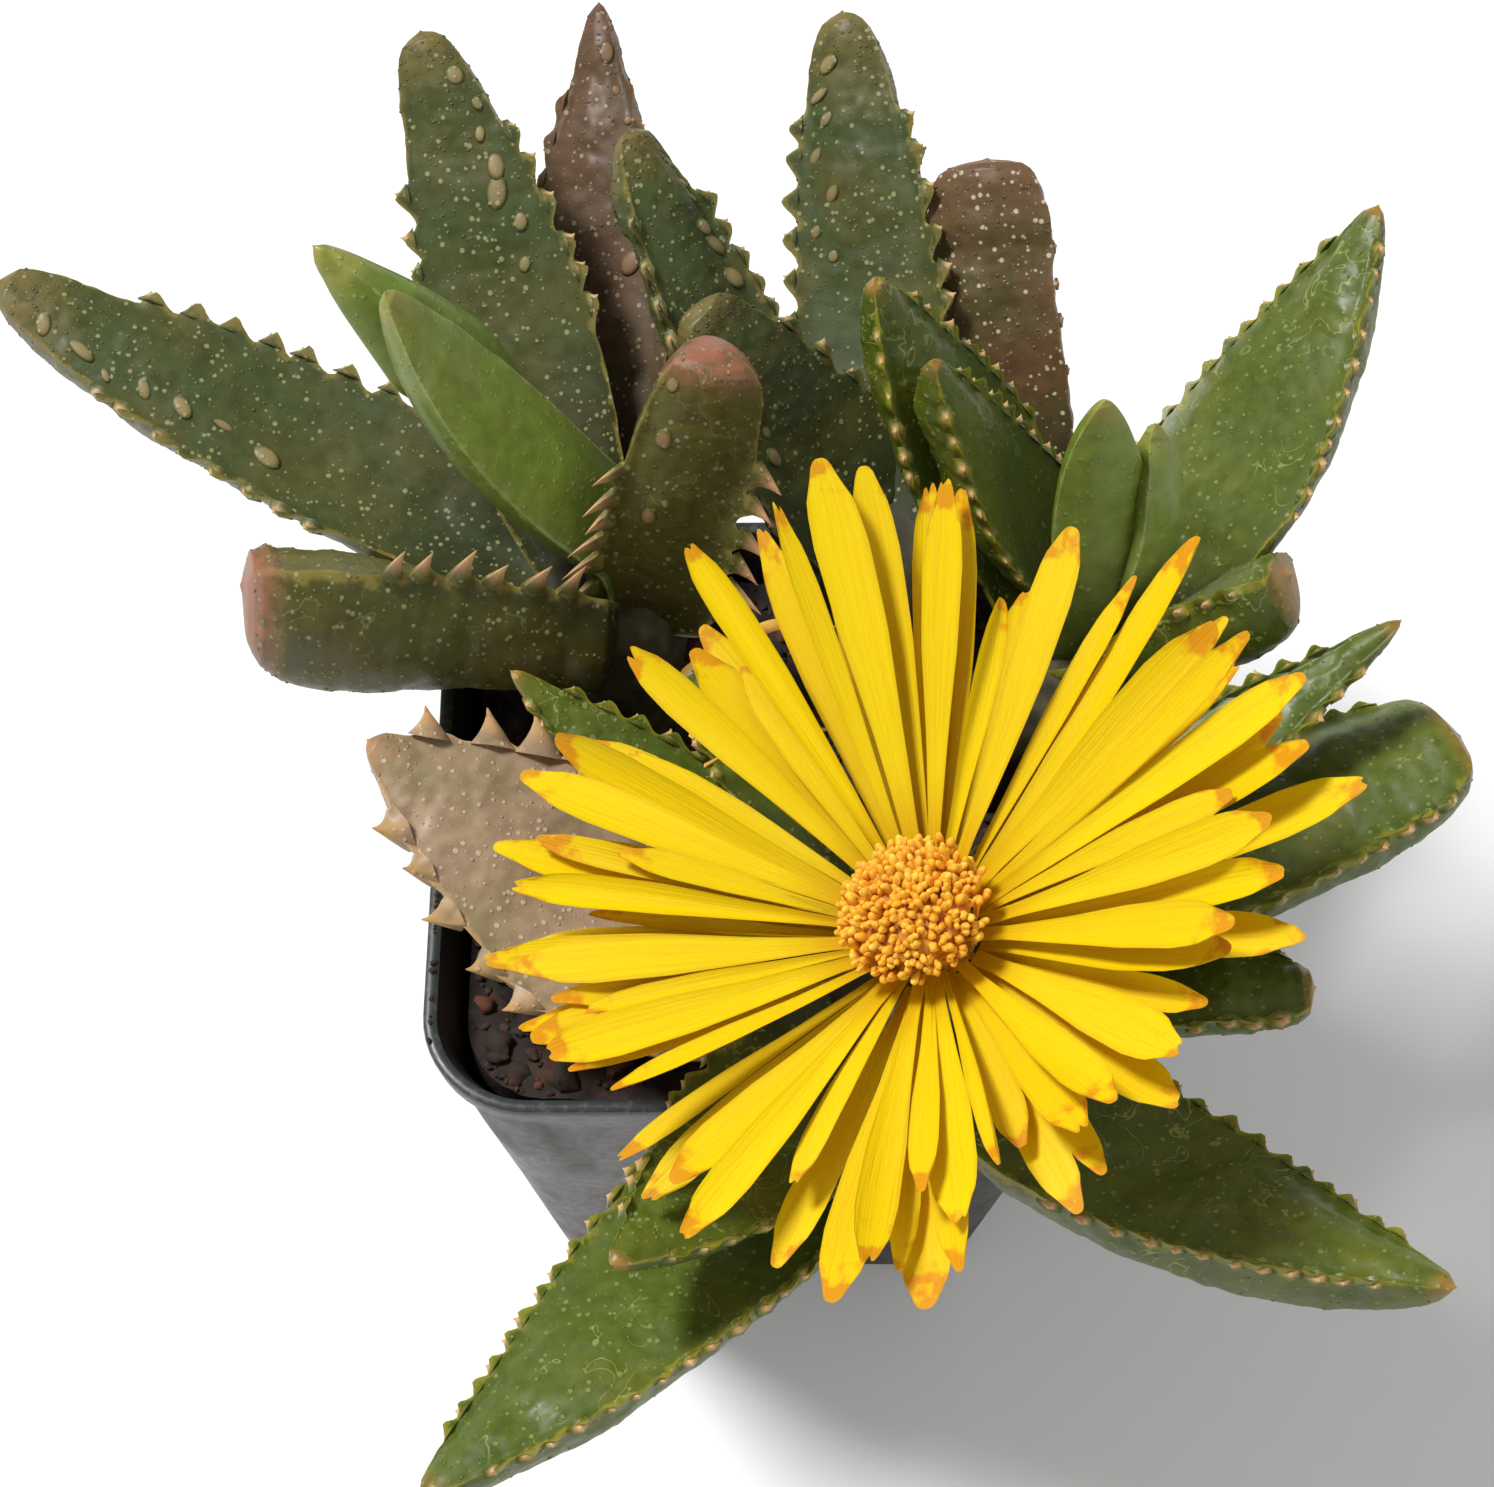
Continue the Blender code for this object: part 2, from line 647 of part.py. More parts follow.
def make_wilted_petals(home):
    """Dry threads of an older flower, arched between the leaves."""
    for index, points in enumerate(WILTED_ARCS):
        start, top, end = (Vector((x * MM, y * MM, POT_HEIGHT + z * MM)) for x, y, z in points)
        curve = bpy.data.curves.new("wilted_petal", "CURVE")
        curve.dimensions = "3D"
        curve.bevel_depth = WILTED_RADIUS
        curve.bevel_resolution = 2
        curve.use_fill_caps = True
        spline = curve.splines.new("POLY")
        spline.points.add(WILTED_STEPS)
        for step, point in enumerate(spline.points):
            share = step / WILTED_STEPS
            place = start.lerp(top, share).lerp(top.lerp(end, share), share)
            point.co = (*place, 1)
        put(curve, f"wilted_petal_{index + 1}", home, WILTED)


def main():
    """Builds the whole plant in its pot."""
    clear_scene()
    home = make_collection("potted_succulent")
    cutters = make_collection("cutters")
    pot = make_pot(home, cutters)
    soil = make_soil(home)
    make_plant(pot, soil, home, cutters)
    make_stalk(home)
    make_flower(home)
    make_wilted_petals(home)


if __name__ == "__main__":
    main()
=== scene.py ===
"""Looks of a tiger-jaw succulent in flower, in its small square nursery pot."""

import logging
import math
import random
from collections.abc import Callable
from dataclasses import dataclass
from enum import Enum

import bmesh
import bpy
import numpy as np
from mathutils import Matrix, Vector, noise


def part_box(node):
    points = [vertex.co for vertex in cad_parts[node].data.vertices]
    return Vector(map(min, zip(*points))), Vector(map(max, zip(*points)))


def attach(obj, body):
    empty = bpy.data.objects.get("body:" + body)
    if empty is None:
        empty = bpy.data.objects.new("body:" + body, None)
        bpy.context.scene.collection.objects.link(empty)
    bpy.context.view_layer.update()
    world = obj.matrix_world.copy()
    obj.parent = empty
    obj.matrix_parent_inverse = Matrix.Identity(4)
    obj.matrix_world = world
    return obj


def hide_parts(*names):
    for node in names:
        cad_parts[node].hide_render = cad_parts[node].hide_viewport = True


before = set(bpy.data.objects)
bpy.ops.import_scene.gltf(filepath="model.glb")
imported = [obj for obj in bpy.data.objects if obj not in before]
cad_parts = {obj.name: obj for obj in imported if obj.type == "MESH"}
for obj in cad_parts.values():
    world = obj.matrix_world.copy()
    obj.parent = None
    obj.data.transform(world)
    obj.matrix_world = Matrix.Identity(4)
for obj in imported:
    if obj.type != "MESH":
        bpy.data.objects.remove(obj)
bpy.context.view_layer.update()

MM = 0.001
MARKS = "marks"
LOG = logging.getLogger("succulent")


def tone(red: float, green: float, blue: float) -> tuple[float, float, float, float]:
    """A linear colour from display values.

    Args:
        red: Red, from 0 to 255.
        green: Green, from 0 to 255.
        blue: Blue, from 0 to 255.

    Returns:
        The colour in linear light, with full alpha.
    """
    linear = []
    for value in (red / 255, green / 255, blue / 255):
        linear.append(value / 12.92 if value <= 0.04045 else ((value + 0.055) / 1.055) ** 2.4)
    return (*linear, 1.0)


# Shader graphs


class Graph:
    """Adds shader nodes to one tree and joins them."""

    def __init__(self, tree: bpy.types.NodeTree) -> None:
        """Keeps the tree that the nodes go into."""
        self.tree = tree

    def add(self, kind: str, values: dict | None = None, **settings: object) -> bpy.types.Node:
        """Adds a node.

        Args:
            kind: The node's type name.
            values: Socket name or number to a value or to the output that feeds it.
            settings: Properties of the node itself.

        Returns:
            The new node.
        """
        node = self.tree.nodes.new(kind)
        for key, value in settings.items():
            setattr(node, key, value)
        self.feed(node, values or {})
        return node

    def feed(self, node: bpy.types.Node, values: dict) -> None:
        """Sets a node's inputs.

        Args:
            node: The node.
            values: Socket name or number to a value or to the output that feeds it.
        """
        for key, value in values.items():
            if isinstance(value, bpy.types.NodeSocket):
                self.tree.links.new(value, node.inputs[key])
            else:
                node.inputs[key].default_value = value

    def mix(self, share: object, low: object, high: object, blend: str = "MIX") -> bpy.types.NodeSocket:
        """Mixes two colours.

        Args:
            share: How much of the second colour there is.
            low: The first colour.
            high: The second colour.
            blend: The way they mix.

        Returns:
            The mixed colour's socket.
        """
        node = self.add("ShaderNodeMix", {0: share, 6: low, 7: high}, data_type="RGBA", blend_type=blend)
        return node.outputs[2]

    def math(self, operation: str, first: object, second: object = 0.0) -> bpy.types.NodeSocket:
        """The result of a sum or product, kept between 0 and 1.

        Args:
            operation: The sort of sum.
            first: The first number.
            second: The second number.

        Returns:
            The result's socket.
        """
        node = self.add("ShaderNodeMath", {0: first, 1: second}, operation=operation, use_clamp=True)
        return node.outputs[0]

    def span(
        self, value: object, low: float, high: float, start: float = 0.0, end: float = 1.0
    ) -> bpy.types.NodeSocket:
        """Maps a span of a value smoothly to another span.

        Args:
            value: The value to map.
            low: Where the first span starts.
            high: Where the first span ends.
            start: What the low end becomes.
            end: What the high end becomes.

        Returns:
            The mapped value's socket.
        """
        values = {"Value": value, "From Min": low, "From Max": high, "To Min": start, "To Max": end}
        return self.add("ShaderNodeMapRange", values, interpolation_type="SMOOTHSTEP").outputs[0]

    def noise(
        self, place: object, scale: float, detail: float = 4.0, warp: float = 0.0
    ) -> bpy.types.NodeSocket:
        """Soft noise between about 0.2 and 0.8.

        Args:
            place: The coordinates it is read at.
            scale: Features per metre.
            detail: How many finer layers it has.
            warp: How much it is distorted.

        Returns:
            The noise's socket.
        """
        values = {"Vector": place, "Scale": scale, "Detail": detail, "Distortion": warp}
        return self.add("ShaderNodeTexNoise", values).outputs[0]

    def effect(self, tree: bpy.types.NodeTree, **values: object) -> bpy.types.NodeSocket:
        """Places a shared node group with its own values, and gives its mask."""
        return self.add("ShaderNodeGroup", values, node_tree=tree).outputs[0]


def open_group(name: str, inputs: dict[str, float | None], outputs: tuple[str, ...]) -> tuple:
    """Starts a node group.

    Args:
        name: The group's name.
        inputs: Input names to default numbers, or None for a vector.
        outputs: Names of the values that it puts out.

    Returns:
        The tree, its graph, its input node and its output node.
    """
    tree = bpy.data.node_groups.new(name, "ShaderNodeTree")
    for key, value in inputs.items():
        kind = "NodeSocketVector" if value is None else "NodeSocketFloat"
        socket = tree.interface.new_socket(name=key, in_out="INPUT", socket_type=kind)
        if value is not None:
            socket.default_value = value
    for key in outputs:
        tree.interface.new_socket(name=key, in_out="OUTPUT", socket_type="NodeSocketFloat")
    graph = Graph(tree)
    return tree, graph, graph.add("NodeGroupInput"), graph.add("NodeGroupOutput")


def make_mottle() -> bpy.types.NodeTree:
    """A group that gives soft patches: noise at a scale, pushed towards two levels.

    Returns:
        The group's tree.
    """
    tree, graph, given, out = open_group(
        "mottle", {"Place": None, "Scale": 200.0, "Low": 0.4, "High": 0.6}, ("Mask",)
    )
    texture = graph.add(
        "ShaderNodeTexNoise",
        {"Vector": given.outputs["Place"], "Scale": given.outputs["Scale"], "Detail": 5.0, "Distortion": 0.4},
    )
    mask = graph.add(
        "ShaderNodeMapRange",
        {"Value": texture.outputs[0], "From Min": given.outputs["Low"], "From Max": given.outputs["High"]},
        interpolation_type="SMOOTHSTEP",
    )
    tree.links.new(mask.outputs[0], out.inputs["Mask"])
    return tree


def make_dots() -> bpy.types.NodeTree:
    """A group that scatters small round dots of uneven size over a surface.

    Returns:
        The group's tree.
    """
    tree, graph, given, out = open_group(
        "dots", {"Place": None, "Scale": 1500.0, "Radius": 0.3, "Missing": 0.3}, ("Mask",)
    )
    cells = graph.add(
        "ShaderNodeTexVoronoi", {"Vector": given.outputs["Place"], "Scale": given.outputs["Scale"]}
    )
    tint = graph.add("ShaderNodeSeparateColor", {"Color": cells.outputs["Color"]})
    reach = graph.add(
        "ShaderNodeMath", {0: given.outputs["Radius"], 1: tint.outputs[1]}, operation="MULTIPLY"
    )
    gap = graph.add(
        "ShaderNodeMath", {0: reach.outputs[0], 1: cells.outputs["Distance"]}, operation="SUBTRACT"
    )
    soft = graph.add("ShaderNodeMapRange", {"Value": gap.outputs[0], "From Min": 0.0, "From Max": 0.16})
    kept = graph.add(
        "ShaderNodeMath", {0: tint.outputs[0], 1: given.outputs["Missing"]}, operation="GREATER_THAN"
    )
    mask = graph.add(
        "ShaderNodeMath", {0: soft.outputs[0], 1: kept.outputs[0]}, operation="MULTIPLY", use_clamp=True
    )
    tree.links.new(mask.outputs[0], out.inputs["Mask"])
    return tree


def make_rings() -> bpy.types.NodeTree:
    """A group that gives the thin pale outlines which dried drops of water leave.

    Returns:
        The group's tree.
    """
    tree, graph, given, out = open_group(
        "drop_rings", {"Place": None, "Scale": 300.0, "Width": 0.02}, ("Mask",)
    )
    texture = graph.add(
        "ShaderNodeTexNoise",
        {"Vector": given.outputs["Place"], "Scale": given.outputs["Scale"], "Detail": 2.0, "Distortion": 0.9},
    )
    away = graph.add("ShaderNodeMath", {0: texture.outputs[0], 1: 0.56}, operation="SUBTRACT")
    size = graph.add("ShaderNodeMath", {0: away.outputs[0]}, operation="ABSOLUTE")
    line = graph.add(
        "ShaderNodeMapRange",
        {
            "Value": size.outputs[0],
            "From Min": 0.0,
            "From Max": given.outputs["Width"],
            "To Min": 1.0,
            "To Max": 0.0,
        },
    )
    where = graph.noise(given.outputs["Place"], 170.0, 3.0)
    broken = graph.span(where, 0.48, 0.58)
    mask = graph.math("MULTIPLY", line.outputs[0], broken)
    tree.links.new(mask, out.inputs["Mask"])
    return tree


@dataclass(frozen=True)
class Effects:
    """The shared node groups."""

    mottle: bpy.types.NodeTree
    dots: bpy.types.NodeTree
    rings: bpy.types.NodeTree


EFFECTS = Effects(make_mottle(), make_dots(), make_rings())


def open_material(name: str) -> tuple[bpy.types.Material, Graph, bpy.types.Node, bpy.types.NodeSocket]:
    """Starts a material.

    Args:
        name: The material's name.

    Returns:
        The material, its graph, its Principled node and the object coordinates.
    """
    material = bpy.data.materials.new(name)
    material.use_nodes = True
    graph = Graph(material.node_tree)
    shader = material.node_tree.nodes["Principled BSDF"]
    place = graph.add("ShaderNodeTexCoord").outputs["Object"]
    return material, graph, shader, place


def read_marks(graph: Graph) -> tuple[bpy.types.NodeSocket, ...]:
    """The four marks that a piece's mesh carries.

    Args:
        graph: The material's graph.

    Returns:
        The sockets of the four marks.
    """
    marks = graph.add("ShaderNodeAttribute", attribute_name=MARKS)
    parts = graph.add("ShaderNodeSeparateColor", {"Color": marks.outputs["Color"]})
    return parts.outputs[0], parts.outputs[1], parts.outputs[2], marks.outputs["Alpha"]


def dress_normal(
    graph: Graph, shader: bpy.types.Node, height: object, depth: float, strength: float = 1.0
) -> None:
    """Feeds a bump into a shader's normal.

    Args:
        graph: The material's graph.
        shader: The Principled node.
        height: The bump's height, from 0 to 1.
        depth: How deep the bump is, in metres.
        strength: How much of it shows.
    """
    bump = graph.add("ShaderNodeBump", {"Height": height, "Distance": depth, "Strength": strength})
    graph.feed(shader, {"Normal": bump.outputs[0]})


@dataclass(frozen=True)
class LeafFinish:
    """Skin of a leaf. Marks: nearness to an edge, share of a tooth, share of the length, face side."""

    name: str
    face: tuple
    flank: tuple
    patch: tuple
    edge: tuple
    tooth: tuple
    tip: tuple
    dot: tuple
    dot_share: float = 0.6
    ring_share: float = 0.0
    tip_start: float = 0.86
    roughness: float = 0.42
    coat: float = 0.1
    patch_scale: float = 150.0
    grain_scale: float = 900.0
    dot_scale: float = 1700.0
    fine_dot_scale: float = 2700.0
    ring_scale: float = 330.0
    ring_width: float = 0.014
    bump_depth: float = 0.12 * MM
    specular: float = 0.3
    subsurface: float = 0.12

    def build(self) -> bpy.types.Material:
        """Makes the material.

        Returns:
            The leaf's material.
        """
        material, graph, shader, place = open_material(self.name)
        edge, tooth, along, side = read_marks(graph)
        patches = graph.effect(EFFECTS.mottle, Place=place, Scale=self.patch_scale, Low=0.42, High=0.66)
        grain = graph.noise(place, self.grain_scale, 6.0)
        colour = graph.mix(side, self.flank, self.face)
        colour = graph.mix(graph.math("MULTIPLY", patches, 0.75), colour, self.patch)
        shade = graph.add(
            "ShaderNodeMapRange",
            {"Value": grain, "From Min": 0.25, "From Max": 0.75, "To Min": 0.72, "To Max": 1.22},
        )
        colour = graph.mix(0.8, colour, shade.outputs[0], "MULTIPLY")
        # Painted shade: each leaf darkens towards its root, where it sits in the shade of the crown.
        root = graph.span(along, 0.0, 0.3, 0.55, 1.0)
        colour = graph.mix(1.0, colour, root, "MULTIPLY")
        rim = graph.math("ADD", edge, graph.span(grain, 0.35, 0.7, -0.2, 0.25))
        colour = graph.mix(graph.span(rim, 0.5, 0.95, 0.0, 0.85), colour, self.edge)
        ends = graph.math(
            "MULTIPLY", graph.span(along, self.tip_start, 1.0), graph.span(grain, 0.3, 0.6, 0.35, 1.0)
        )
        colour = graph.mix(ends, colour, self.tip)
        dots = graph.effect(EFFECTS.dots, Place=place, Scale=self.dot_scale, Radius=0.42, Missing=0.08)
        fine = graph.effect(EFFECTS.dots, Place=place, Scale=self.fine_dot_scale, Radius=0.28, Missing=0.3)
        pale = graph.math("MAXIMUM", dots, graph.math("MULTIPLY", fine, 0.6))
        colour = graph.mix(graph.math("MULTIPLY", pale, self.dot_share), colour, self.dot)
        colour = graph.mix(graph.span(tooth, 0.12, 0.75, 0.0, 0.9), colour, self.tooth)
        rings = graph.effect(EFFECTS.rings, Place=place, Scale=self.ring_scale, Width=self.ring_width)
        colour = graph.mix(graph.math("MULTIPLY", rings, self.ring_share), colour, self.dot)
        rough = graph.math(
            "ADD",
            graph.span(grain, 0.3, 0.7, self.roughness - 0.08, self.roughness + 0.1),
            graph.math("MULTIPLY", pale, 0.2),
        )
        height = graph.math("ADD", graph.math("MULTIPLY", pale, 0.6), graph.math("MULTIPLY", grain, 0.4))
        dress_normal(graph, shader, height, self.bump_depth, 0.8)
        graph.feed(
            shader,
            {
                "Base Color": colour,
                "Roughness": rough,
                "Specular IOR Level": self.specular,
                "Coat Weight": self.coat,
                "Coat Roughness": 0.3,
                "Subsurface Weight": self.subsurface,
                "Subsurface Radius": (0.5, 1.0, 0.2),
                "Subsurface Scale": 0.8 * MM,
            },
        )
        return material


@dataclass(frozen=True)
class PetalFinish:
    """Silky petal. Marks: place across, chance, share of the length, upper side."""

    name: str
    root: tuple
    middle: tuple
    streak: tuple
    tip: tuple
    under: tuple
    streak_scale: float = 16.0
    blotch_scale: float = 700.0
    bump_depth: float = 0.1 * MM
    specular: float = 0.18
    subsurface: float = 0.25

    def build(self) -> bpy.types.Material:
        """Makes the material.

        Returns:
            The petal's material.
        """
        material, graph, shader, place = open_material(self.name)
        across, chance, along, side = read_marks(graph)
        lines = graph.add(
            "ShaderNodeCombineXYZ", {0: across, 1: chance, 2: graph.math("MULTIPLY", along, 0.2)}
        )
        streaks = graph.noise(lines.outputs[0], self.streak_scale, 3.0)
        colour = graph.mix(graph.span(along, 0.02, 0.3), self.root, self.middle)
        colour = graph.mix(graph.span(streaks, 0.4, 0.7, 0.0, 0.6), colour, self.streak)
        colour = graph.mix(graph.span(chance, 0.0, 1.0, 0.0, 0.4), colour, self.streak)
        # Painted shade: both side edges of a petal darken towards the root tone, as a shade line where petals
        # overlap.
        left = graph.span(across, 0.14, 0.0, 0.0, 0.4)
        right = graph.span(across, 0.86, 1.0, 0.0, 0.4)
        colour = graph.mix(graph.math("MAXIMUM", left, right), colour, self.root)
        colour = graph.mix(graph.span(side, 0.0, 1.0, 0.75, 0.0), colour, self.under)
        blotch = graph.noise(place, self.blotch_scale, 5.0)
        ends = graph.math("ADD", along, graph.span(blotch, 0.3, 0.7, -0.06, 0.06))
        late = graph.math("ADD", ends, graph.math("MULTIPLY", chance, 0.05))
        colour = graph.mix(graph.span(late, 0.93, 1.04, 0.0, 0.95), colour, self.tip)
        dress_normal(graph, shader, streaks, self.bump_depth, 0.7)
        graph.feed(
            shader,
            {
                "Base Color": colour,
                "Roughness": graph.span(streaks, 0.3, 0.7, 0.42, 0.6),
                "Specular IOR Level": self.specular,
                "Subsurface Weight": self.subsurface,
                "Subsurface Radius": (1.0, 0.7, 0.1),
                "Subsurface Scale": 0.7 * MM,
            },
        )
        return material


@dataclass(frozen=True)
class PlainFinish:
    """A grainy two-tone finish. Marks: chance, -, height share, -."""

    name: str
    low: tuple
    high: tuple
    spot: tuple
    scale: float
    roughness: float
    depth: float
    spot_share: float = 0.4
    use_marks: bool = True
    subsurface: float = 0.0

    def build(self) -> bpy.types.Material:
        """Makes the material.

        Returns:
            The piece's material.
        """
        material, graph, shader, place = open_material(self.name)
        grain = graph.noise(place, self.scale, 6.0)
        share = graph.span(grain, 0.35, 0.65)
        # The height mark moves a piece towards its high tone. This is painted light on the crumbs' tops and
        # painted shade deep in the anther brush; on the dry threads it is a tone along their length.
        if self.use_marks:
            chance, _, height, _ = read_marks(graph)
            share = graph.math(
                "ADD", graph.math("MULTIPLY", share, 0.35), graph.math("MULTIPLY", height, 0.65)
            )
        colour = graph.mix(share, self.low, self.high)
        spots = graph.effect(EFFECTS.mottle, Place=place, Scale=self.scale * 0.35, Low=0.52, High=0.62)
        spots = graph.math("MULTIPLY", spots, self.spot_share)
        if self.use_marks:
            spots = graph.math("MAXIMUM", spots, graph.span(chance, 0.75, 0.9, 0.0, 0.85))
        colour = graph.mix(spots, colour, self.spot)
        rough = graph.span(grain, 0.3, 0.7, self.roughness - 0.08, self.roughness + 0.08)
        graph.feed(shader, {"Base Color": colour, "Roughness": rough})
        dress_normal(graph, shader, grain, self.depth, 0.8)
        if self.subsurface:
            graph.feed(
                shader,
                {
                    "Subsurface Weight": self.subsurface,
                    "Subsurface Radius": (1.0, 0.5, 0.1),
                    "Subsurface Scale": 0.5 * MM,
                },
            )
        return material


@dataclass(frozen=True)
class PotFinish:
    """Thin moulded plastic, dusty and scuffed. Marks: nearness to the lip, -, height share, outside."""

    name: str
    plastic: tuple
    # Paler slate-grey tone of the lip: a painted highlight along the rim.
    lip: tuple
    dust: tuple
    scuff: tuple
    dust_scale: float = 70.0
    speck_scale: float = 700.0
    streak_scale: float = 420.0
    grain_scale: float = 1400.0
    scratch_scale: float = 2400.0
    bump_depth: float = 0.02 * MM
    specular: float = 0.45

    def build(self) -> bpy.types.Material:
        """Makes the material.

        Returns:
            The pot's material.
        """
        material, graph, shader, place = open_material(self.name)
        lip, _, _, outside = read_marks(graph)
        broad = graph.effect(EFFECTS.mottle, Place=place, Scale=self.dust_scale, Low=0.38, High=0.68)
        grain = graph.noise(place, self.grain_scale, 5.0)
        run = graph.add("ShaderNodeMapping", {"Vector": place, "Scale": (1.0, 1.0, 0.12)})
        streaks = graph.noise(run.outputs[0], self.streak_scale, 4.0)
        # Painted highlight: the lip and its band take a paler slate-grey tone that stands in for the light
        # along the rim.
        colour = graph.mix(lip, self.plastic, self.lip)
        film = graph.math("MULTIPLY", broad, graph.span(streaks, 0.3, 0.7, 0.3, 0.65))
        film = graph.math("MULTIPLY", film, graph.span(lip, 0.0, 0.6, 1.0, 0.35))
        colour = graph.mix(film, colour, self.dust)
        specks = graph.effect(EFFECTS.dots, Place=place, Scale=self.speck_scale, Radius=0.3, Missing=0.8)
        colour = graph.mix(graph.math("MULTIPLY", specks, 0.6), colour, self.dust)
        scratch = graph.add(
            "ShaderNodeMapping", {"Vector": place, "Scale": (1.0, 1.0, 0.05), "Rotation": (0.4, 0.2, 0.0)}
        )
        fine = graph.noise(scratch.outputs[0], self.scratch_scale, 2.0)
        lines = graph.span(fine, 0.66, 0.72, 0.0, 0.5)
        worn = graph.math(
            "MAXIMUM",
            graph.math("MULTIPLY", lines, outside),
            graph.math("MULTIPLY", graph.span(lip, 0.9, 1.0, 0.0, 0.5), graph.span(grain, 0.52, 0.7)),
        )
        colour = graph.mix(worn, colour, self.scuff)
        rough = graph.math(
            "ADD", graph.span(film, 0.0, 0.8, 0.34, 0.68), graph.span(grain, 0.3, 0.7, 0.0, 0.08)
        )
        height = graph.math("ADD", grain, graph.math("MULTIPLY", film, 0.3))
        dress_normal(graph, shader, height, self.bump_depth, 0.6)
        graph.feed(
            shader, {"Base Color": colour, "Roughness": rough, "Specular IOR Level": self.specular}
        )
        return material


# Mesh helpers


class Shell:
    """Gathers points, faces and marks, and makes them one piece."""

    def __init__(self) -> None:
        """Starts with nothing."""
        self.points: list[np.ndarray] = []
        self.faces: list[tuple[int, ...]] = []
        self.marks: list[np.ndarray] = []
        self.count = 0

    def add(self, points: np.ndarray, faces: list[tuple[int, ...]], marks: np.ndarray) -> None:
        """Adds one body.

        Args:
            points: Its points, one row each.
            faces: Its faces as point numbers.
            marks: Four marks for each point.
        """
        start = self.count
        self.points.append(points)
        self.marks.append(marks)
        self.faces.extend(tuple(index + start for index in face) for face in faces)
        self.count += len(points)

    def piece(self, name: str, material: bpy.types.Material, angle: float = 60.0) -> bpy.types.Object:
        """Makes the piece.

        Args:
            name: The piece's name.
            material: Its material.
            angle: Edges sharper than this many degrees stay sharp.

        Returns:
            The new object.
        """
        mesh = bpy.data.meshes.new(name)
        mesh.from_pydata(np.concatenate(self.points).tolist(), [], self.faces)
        write_marks(mesh, np.concatenate(self.marks))
        return settle(name, mesh, material, angle)


def write_marks(mesh: bpy.types.Mesh, marks: np.ndarray) -> None:
    """Gives a mesh its four marks for each point."""
    layer = mesh.attributes.new(MARKS, "FLOAT_COLOR", "POINT")
    layer.data.foreach_set("color", marks.astype(np.float32).ravel())


def settle(name: str, mesh: bpy.types.Mesh, material: bpy.types.Material, angle: float) -> bpy.types.Object:
    """Puts a mesh in the scene, its faces outwards and smooth.

    Args:
        name: The piece's name.
        mesh: Its mesh.
        material: Its material.
        angle: Edges sharper than this many degrees stay sharp.

    Returns:
        The new object.
    """
    body = bmesh.new()
    body.from_mesh(mesh)
    bmesh.ops.recalc_face_normals(body, faces=body.faces)
    body.to_mesh(mesh)
    body.free()
    mesh.shade_smooth()
    mesh.set_sharp_from_angle(angle=math.radians(angle))
    mesh.materials.clear()
    mesh.materials.append(material)
    obj = bpy.data.objects.new(name, mesh)
    bpy.context.scene.collection.objects.link(obj)
    return obj


def hand_in(obj: bpy.types.Object, slot: str, *nodes: str) -> None:
    """Lets a piece ride on the body and hides the nodes it stands for.

    Args:
        obj: The piece.
        slot: Not used.
        nodes: The CAD nodes that it replaces.
    """
    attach(obj, "root")
    if nodes:
        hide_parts(*nodes)
    LOG.info("%s: %d faces", obj.name, len(obj.data.polygons))


def bridge(rows: int, columns: int, closed: bool = True) -> list[tuple[int, ...]]:
    """Faces of a grid of points.

    Args:
        rows: How many rows the grid has.
        columns: How many points a row has.
        closed: Whether each row runs round to its start.

    Returns:
        The grid's faces as point numbers.
    """
    faces = []
    for row in range(rows - 1):
        for column in range(columns if closed else columns - 1):
            after = (column + 1) % columns
            low = row * columns
            high = low + columns
            faces.append((low + column, low + after, high + after, high + column))
    return faces


@dataclass(frozen=True)
class Stamp:
    """A small shape that is modelled once and copied many times."""

    points: np.ndarray
    faces: tuple
    marks: np.ndarray

    def press(self, shell: Shell, matrix: Matrix, chance: float = 0.0) -> None:
        """Adds one copy.

        Args:
            shell: What it is added to.
            matrix: The copy's place, turn and size.
            chance: A number for the copy's first mark.
        """
        turn = np.array(matrix.to_3x3())
        points = self.points @ turn.T + np.array(matrix.translation)
        marks = self.marks.copy()
        marks[:, 0] = np.maximum(marks[:, 0], chance)
        shell.add(points, self.faces, marks)


def take_stamp(obj: bpy.types.Object, mark: Callable[[Vector], tuple[float, ...]]) -> Stamp:
    """Keeps a modelled shape as a stamp and removes its object.

    Args:
        obj: The modelled object.
        mark: Gives a point's four marks.

    Returns:
        The stamp.
    """
    mesh = obj.data
    points = np.array([vert.co for vert in mesh.vertices])
    faces = tuple(tuple(face.vertices) for face in mesh.polygons)
    marks = np.array([mark(vert.co) for vert in mesh.vertices], float)
    bpy.data.objects.remove(obj, do_unlink=True)
    return Stamp(points, faces, marks)


def deselect() -> None:
    """Deselects every object."""
    bpy.ops.object.select_all(action="DESELECT")


def reshape(change: Callable[..., set], **values: object) -> bpy.types.Object:
    """Transforms the whole of a new primitive in edit mode.

    Args:
        change: The transform operator.
        values: The operator's settings.

    Returns:
        The primitive's object.
    """
    bpy.ops.object.mode_set(mode="EDIT")
    bpy.ops.mesh.select_all(action="SELECT")
    change(**values)
    bpy.ops.object.mode_set(mode="OBJECT")
    return bpy.context.object


